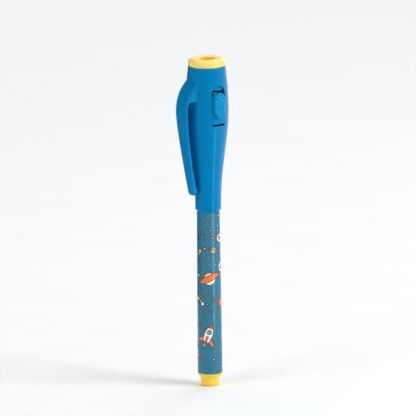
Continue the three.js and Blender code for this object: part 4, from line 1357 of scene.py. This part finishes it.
def hidden_parts(switch, top):
    """Hub, pivot, stem and lips behind the plate."""
    half, depth, radius = switch.width / 2, switch.pivot_depth, switch.pivot_radius
    edge, lip_edge = 0.1 * MM, 0.08 * MM
    hub_sink, lip_inset, hook_gap, neck_drop = 0.2 * MM, 0.3 * MM, 0.15 * MM, 0.4 * MM
    pivot_z = LEVER_LOW.z + switch.pivot_up
    hub_front = cap_radius(pivot_z) - switch.thickness + hub_sink
    hub_top = pivot_z + radius * 1.6
    hub = block("lever_hub", (-half, -hub_front, pivot_z - radius), (half, -depth, hub_top), edge)
    pivot = rod_along_x("lever_pivot", radius, half + switch.pivot_stub, -depth, pivot_z, edge)
    stem_z = CARRIER_HIGH.z - switch.stem_drop
    stem_front = cap_radius(stem_z) - switch.thickness / 2
    stem_end = LEAF_LOW.y + switch.leaf_bow - switch.stem_gap
    stem = block("lever_stem", (-MM, -stem_front, stem_z - MM), (MM, stem_end, stem_z + MM), edge)
    lip = switch.lip_width
    outer = half - lip_inset
    hook_y = -math.sqrt((cap_bore() - hook_gap) ** 2 - outer**2)
    neck_top = top - switch.crown - neck_drop
    foot = neck_top - 2 * lip
    face = -(cap_radius(top) - switch.thickness)
    lips = []
    for side in (-1, 1):
        left, right = sorted((side * outer, side * (outer - lip)))
        for name, front, upper in (("lever_lip", hook_y, LEVER_HIGH.z), ("lip_neck", face, neck_top)):
            lips.append(block(name, (left, front, foot), (right, hook_y + lip, upper), lip_edge))
    return [hub, pivot, stem, *lips]


class MARKER_OT_lamp(bpy.types.Operator):
    """Turn the lamp's ring and its lens"""

    bl_idname = "marker.lamp"
    bl_label = "Lamp ring and lens"

    def execute(self, context):
        lamp = context.scene.marker_lamp
        colours = context.scene.marker_finish
        pale = glowing_plastic("ring_plastic", colours.ring, 0.3, 0.15)
        # The hole's inside gets the same plastic painted a deeper yellow, as painted shade.
        funnel_shade = glowing_plastic("funnel_plastic", colours.funnel, 0.3, 0.15)
        skirt_drop, hole_margin = 7.55 * MM, 0.1 * MM
        foot = LED_HIGH.z - skirt_drop
        ring = turned("lamp_ring_smooth", ring_outline(lamp, context.scene.marker_cap, foot), lamp.facets)
        smooth(ring, 36)
        ring.data.materials.append(pale)
        ring.data.materials.append(funnel_shade)
        for face in ring.data.polygons:
            inside = math.hypot(face.center.x, face.center.y) < lamp.hole_radius + hole_margin
            face.material_index = int(inside and face.center.z > foot)
        hand_over(ring, None, "pale_yellow_plastic", "cap", "lamp_ring")
        lens = turned("led_lens_smooth", lens_outline(lamp), 64)
        smooth(lens)
        hand_over(lens, clear_resin("lens_resin"), "clear_lens", "cap", "led_lens")
        return {"FINISHED"}


def ring_outline(lamp, cap, foot):
    """The ring: a rounded rim on the cap's mouth, a funnel down to the lens and a skirt in the bore."""
    seat, top = SHELL_HIGH.z + PRESS_GAP, RING_HIGH.z
    outer, hole, wall = cap.mouth_radius, lamp.hole_radius, lamp.wall
    crown = (outer + hole) / 2
    shoulder = seat + (top - seat) * 0.42
    lip_height, lens_gap, roof_rise = 0.6 * MM, 0.15 * MM, 0.4 * MM
    skirt = cap_bore() - PRESS_GAP
    funnel = lamp.lens_radius + lens_gap
    roof = SHELL_HIGH.z + roof_rise
    return [
        *near((outer, seat), (-0.32, 0), (-0.12, 0.1), (-0.02, 0.32)),
        *arc((crown, shoulder), outer + lamp.bulge - crown, top - shoulder, 0, 90, 20),
        *arc((crown, top - lip_height), hole - crown, lip_height, 90, 12, 10)[1:],
        *near((hole, top), (0, -1)),
        *near((funnel, LED_HIGH.z - lamp.lens_radius), (0.3, 0)),
        (funnel, foot),
        (funnel + wall, foot),
        (hole + wall, roof),
        (skirt - wall, roof),
        (skirt - wall, foot),
        *near((skirt, foot), (-0.2, 0), (0, 0.5)),
        (skirt, seat),
    ]


def lens_outline(lamp):
    """The lens: a foot with a flange and a domed body."""
    foot_top, radius = LED_LOW.z + lamp.lens_flange, lamp.lens_radius
    dome = arc((0, LED_HIGH.z - radius), radius, radius, 0, 90, 18)
    return [(0, LED_LOW.z), (LED_HIGH.x, LED_LOW.z), (LED_HIGH.x, foot_top), (radius, foot_top), *dome]


class MARKER_OT_inner_parts(bpy.types.Operator):
    """Give the pieces inside the pen their materials"""

    bl_idname = "marker.inner_parts"
    bl_label = "Inner parts"

    def execute(self, context):
        milky = moulded_plastic("inner_cap_plastic", (0.62, 0.66, 0.7), 0.5)
        black = moulded_plastic("carrier_plastic", (0.1, 0.105, 0.125), 0.45)
        felt = soft_fibre("reservoir_fibre", (0.94, 0.94, 0.92), 0.12 * MM)
        film = moulded_plastic("reservoir_film", (0.87, 0.9, 0.92), 0.2, Coat_Weight=0.5)
        steel = bright_metal("cell_steel", (0.8, 0.81, 0.83), 0.28, 0.4 * MM, (1, 1, 6))
        tin = bright_metal("lead_tin", (0.8, 0.81, 0.83), 0.22, 0.2 * MM)
        for material, names in (
            (milky, ("inner_cap",)),
            (black, ("cell_carrier", "led_holder")),
            (felt, ("ink_reservoir",)),
            (film, ("reservoir_wrap",)),
            (steel, ("button_cell_1", "button_cell_2", "button_cell_3")),
            (tin, ("led_anode_lead", "led_cathode_lead", "lower_contact")),
        ):
            for name in names:
                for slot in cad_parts[name].material_slots:
                    slot.material = material
        return {"FINISHED"}


class MARKER_OT_stage(bpy.types.Operator):
    """Set out the floor, the lights and the camera"""

    bl_idname = "marker.stage"
    bl_label = "Stage"

    def execute(self, context):
        stage = context.scene.marker_stage
        add_floor()
        add_sky(context.scene, stage)
        add_camera(context.scene, stage)
        add_softbox(stage, "key", (70, 26, 1.9), (0.9, 1.2), 26)
        add_softbox(stage, "fill", (-50, 24, 2), (1.2, 1.2), 16)
        add_softbox(stage, "rim", (156, 10, 1.7), (0.5, 1.4), 6)
        add_softbox(stage, "top", (170, 72, 1.8), (2.4, 2.4), 22)
        add_card(stage, "dark_card", (-122, 0.11, 0.16), (0.22, 0.3), (0.03, 0.06, 0.1), 0)
        add_card(stage, "bright_card", (46, 0.12, 0.04), (0.016, 0.08), (0.9, 0.95, 1.0), 11)
        context.scene.view_settings.view_transform = "Standard"
        return {"FINISHED"}


def toward(azimuth, elevation=0):
    """A direction by its degrees round the pen from the switch's side and above the horizon."""
    around, above = math.radians(azimuth), math.radians(elevation)
    return math.sin(around) * math.cos(above), -math.cos(around) * math.cos(above), math.sin(above)


def facing(direction):
    """The turn that makes a camera or a light look back along a direction."""
    return direction.to_track_quat("Z", "Y").to_euler()


def add_floor():
    """A paper floor that passes into the backdrop's tone a little way off."""
    floor = board("floor", (0, 0, 0), (12, 12), 3)
    object_mode()
    finish = Finish("floor_paper", 0.9)
    finish.clouded(finish.noise(30 * MM, 3), seen((0.96, 0.965, 0.97)), seen((0.97, 0.975, 0.98)))
    fade_away(finish)
    floor.data.materials.append(finish.material)


def fade_away(finish):
    """Lets a floor pass into the backdrop's tone beyond the pen's shadow, where a ray looks at it."""
    away = finish.node("ShaderNodeVectorMath", {"operation": "LENGTH"}, Vector=finish.place).outputs["Value"]
    reach = {"From_Min": 0.3, "From_Max": 1.0, "To_Min": 0, "To_Max": 1}
    share = finish.node("ShaderNodeMapRange", {"interpolation_type": "SMOOTHSTEP"}, Value=away, **reach)
    shown = finish.node("ShaderNodeMath", {"operation": "MULTIPLY"})
    feed(finish.tree, shown.inputs[0], share.outputs["Result"])
    feed(finish.tree, shown.inputs[1], looked_at(finish.tree))
    glow = finish.node("ShaderNodeEmission", Color=BACKDROP)
    mix_shaders(finish.tree, shown.outputs["Value"], finish.shader, glow, "Material Output")


def mix_shaders(tree, share, first, second, output):
    """Leads two shaders, mixed by a share, to the tree's output."""
    mixer = tree.nodes.new("ShaderNodeMixShader")
    for socket, value in enumerate((share, first.outputs[0], second.outputs[0])):
        feed(tree, mixer.inputs[socket], value)
    feed(tree, tree.nodes[output].inputs["Surface"], mixer.outputs["Shader"])


def looked_at(tree):
    """1 for rays from the camera, also by way of gloss or glass, and 0 for the light that falls on things."""
    path = tree.nodes.new("ShaderNodeLightPath")
    total = path.outputs["Is Camera Ray"]
    for ray in ("Is Glossy Ray", "Is Transmission Ray"):
        added = tree.nodes.new("ShaderNodeMath")
        added.use_clamp = True
        feed(tree, added.inputs[0], total)
        feed(tree, added.inputs[1], path.outputs[ray])
        total = added.outputs["Value"]
    return total


def add_sky(scene, stage):
    """An even light from all round, which shows the backdrop's tone where the floor ends."""
    world = bpy.data.worlds.new("studio")
    scene.world = world
    world.use_nodes = True
    tree = world.node_tree
    lit = tree.nodes["Background"]
    lit.inputs["Color"].default_value = (1, 1, 1, 1)
    lit.inputs["Strength"].default_value = stage.sky
    shown = tree.nodes.new("ShaderNodeBackground")
    shown.inputs["Color"].default_value = BACKDROP
    mix_shaders(tree, looked_at(tree), lit, shown, "World Output")


def add_camera(scene, stage):
    """The camera, whose lens gives the picture its scale at the pen."""
    sensor = 36
    around = math.radians(stage.azimuth)
    away = Vector(toward(stage.azimuth, stage.elevation))
    aim = Vector((-math.cos(around), -math.sin(around), 0)) * stage.aside
    aim.z = stage.aim
    clear_selection()
    bpy.ops.object.camera_add(location=aim + away * stage.distance)
    camera = bpy.context.object
    camera.rotation_euler = facing(away)
    camera.rotation_euler.rotate_axis("Z", -math.radians(stage.roll))
    camera.data.sensor_width = sensor
    camera.data.lens = sensor * stage.scale * stage.distance
    camera.data.clip_end = 50
    scene.camera = camera


def add_softbox(stage, name, place, size, power):
    """A rectangular light that faces the pen, placed by azimuth from the camera, elevation and distance."""
    azimuth, elevation, distance = place
    offset = Vector(toward(stage.azimuth + azimuth, elevation)) * distance
    clear_selection()
    bpy.ops.object.light_add(type="AREA", location=Vector((0, 0, stage.aim)) + offset)
    light = named(name)
    light.rotation_euler = facing(offset)
    light.data.shape = "RECTANGLE"
    light.data.size, light.data.size_y = size
    light.data.energy = power
    light.visible_camera = False


def add_card(stage, name, place, size, rgb, glow):
    """An upright card that only reflections see, placed by azimuth from the camera, distance and height."""
    azimuth, away, height = place
    x, y, _ = toward(stage.azimuth + azimuth)
    spot = (away * x, away * y, height)
    card = board(name, spot, size, 2)
    for axis, turn in (("X", math.pi / 2), ("Z", -math.radians(stage.azimuth + azimuth))):
        bpy.ops.transform.rotate(value=turn, orient_axis=axis, center_override=spot)
    object_mode()
    finish = Finish(name, 0.95, Specular_IOR_Level=0.0, Emission_Color=seen(rgb), Emission_Strength=glow)
    finish.clouded(finish.noise(2 * MM, 2), seen(rgb), shaded(rgb, 1.1))
    card.data.materials.append(finish.material)
    for rays in ("camera", "diffuse", "shadow", "transmission"):
        setattr(card, f"visible_{rays}", False)


GROUPS = {
    "marker_barrel": MARKER_PG_barrel,
    "marker_cap": MARKER_PG_cap,
    "marker_switch": MARKER_PG_switch,
    "marker_lamp": MARKER_PG_lamp,
    "marker_finish": MARKER_PG_finish,
    "marker_stage": MARKER_PG_stage,
}

OPERATORS = (
    MARKER_OT_barrel,
    MARKER_OT_film,
    MARKER_OT_cap,
    MARKER_OT_switch,
    MARKER_OT_lamp,
    MARKER_OT_inner_parts,
    MARKER_OT_stage,
)


class MARKER_PT_pieces(bpy.types.Panel):
    """Lists the pieces and their sizes"""

    bl_idname = "MARKER_PT_pieces"
    bl_label = "Marker"
    bl_space_type = "VIEW_3D"
    bl_region_type = "UI"
    bl_category = "Marker"

    def draw(self, context):
        for operator in OPERATORS:
            self.layout.operator(operator.bl_idname)
        for group in GROUPS:
            values = getattr(context.scene, group)
            for name in values.__annotations__:
                self.layout.prop(values, name)


def register():
    for cls in (*GROUPS.values(), *OPERATORS, MARKER_PT_pieces):
        bpy.utils.register_class(cls)
    for name, cls in GROUPS.items():
        setattr(bpy.types.Scene, name, PointerProperty(type=cls))


def unregister():
    for name in GROUPS:
        delattr(bpy.types.Scene, name)
    for cls in (MARKER_PT_pieces, *reversed(OPERATORS), *reversed(GROUPS.values())):
        bpy.utils.unregister_class(cls)


def main():
    register()
    bpy.ops.marker.barrel()
    bpy.ops.marker.film()
    bpy.ops.marker.cap()
    bpy.ops.marker.switch()
    bpy.ops.marker.lamp()
    bpy.ops.marker.inner_parts()
    bpy.ops.marker.stage()


if __name__ == "__main__":
    main()
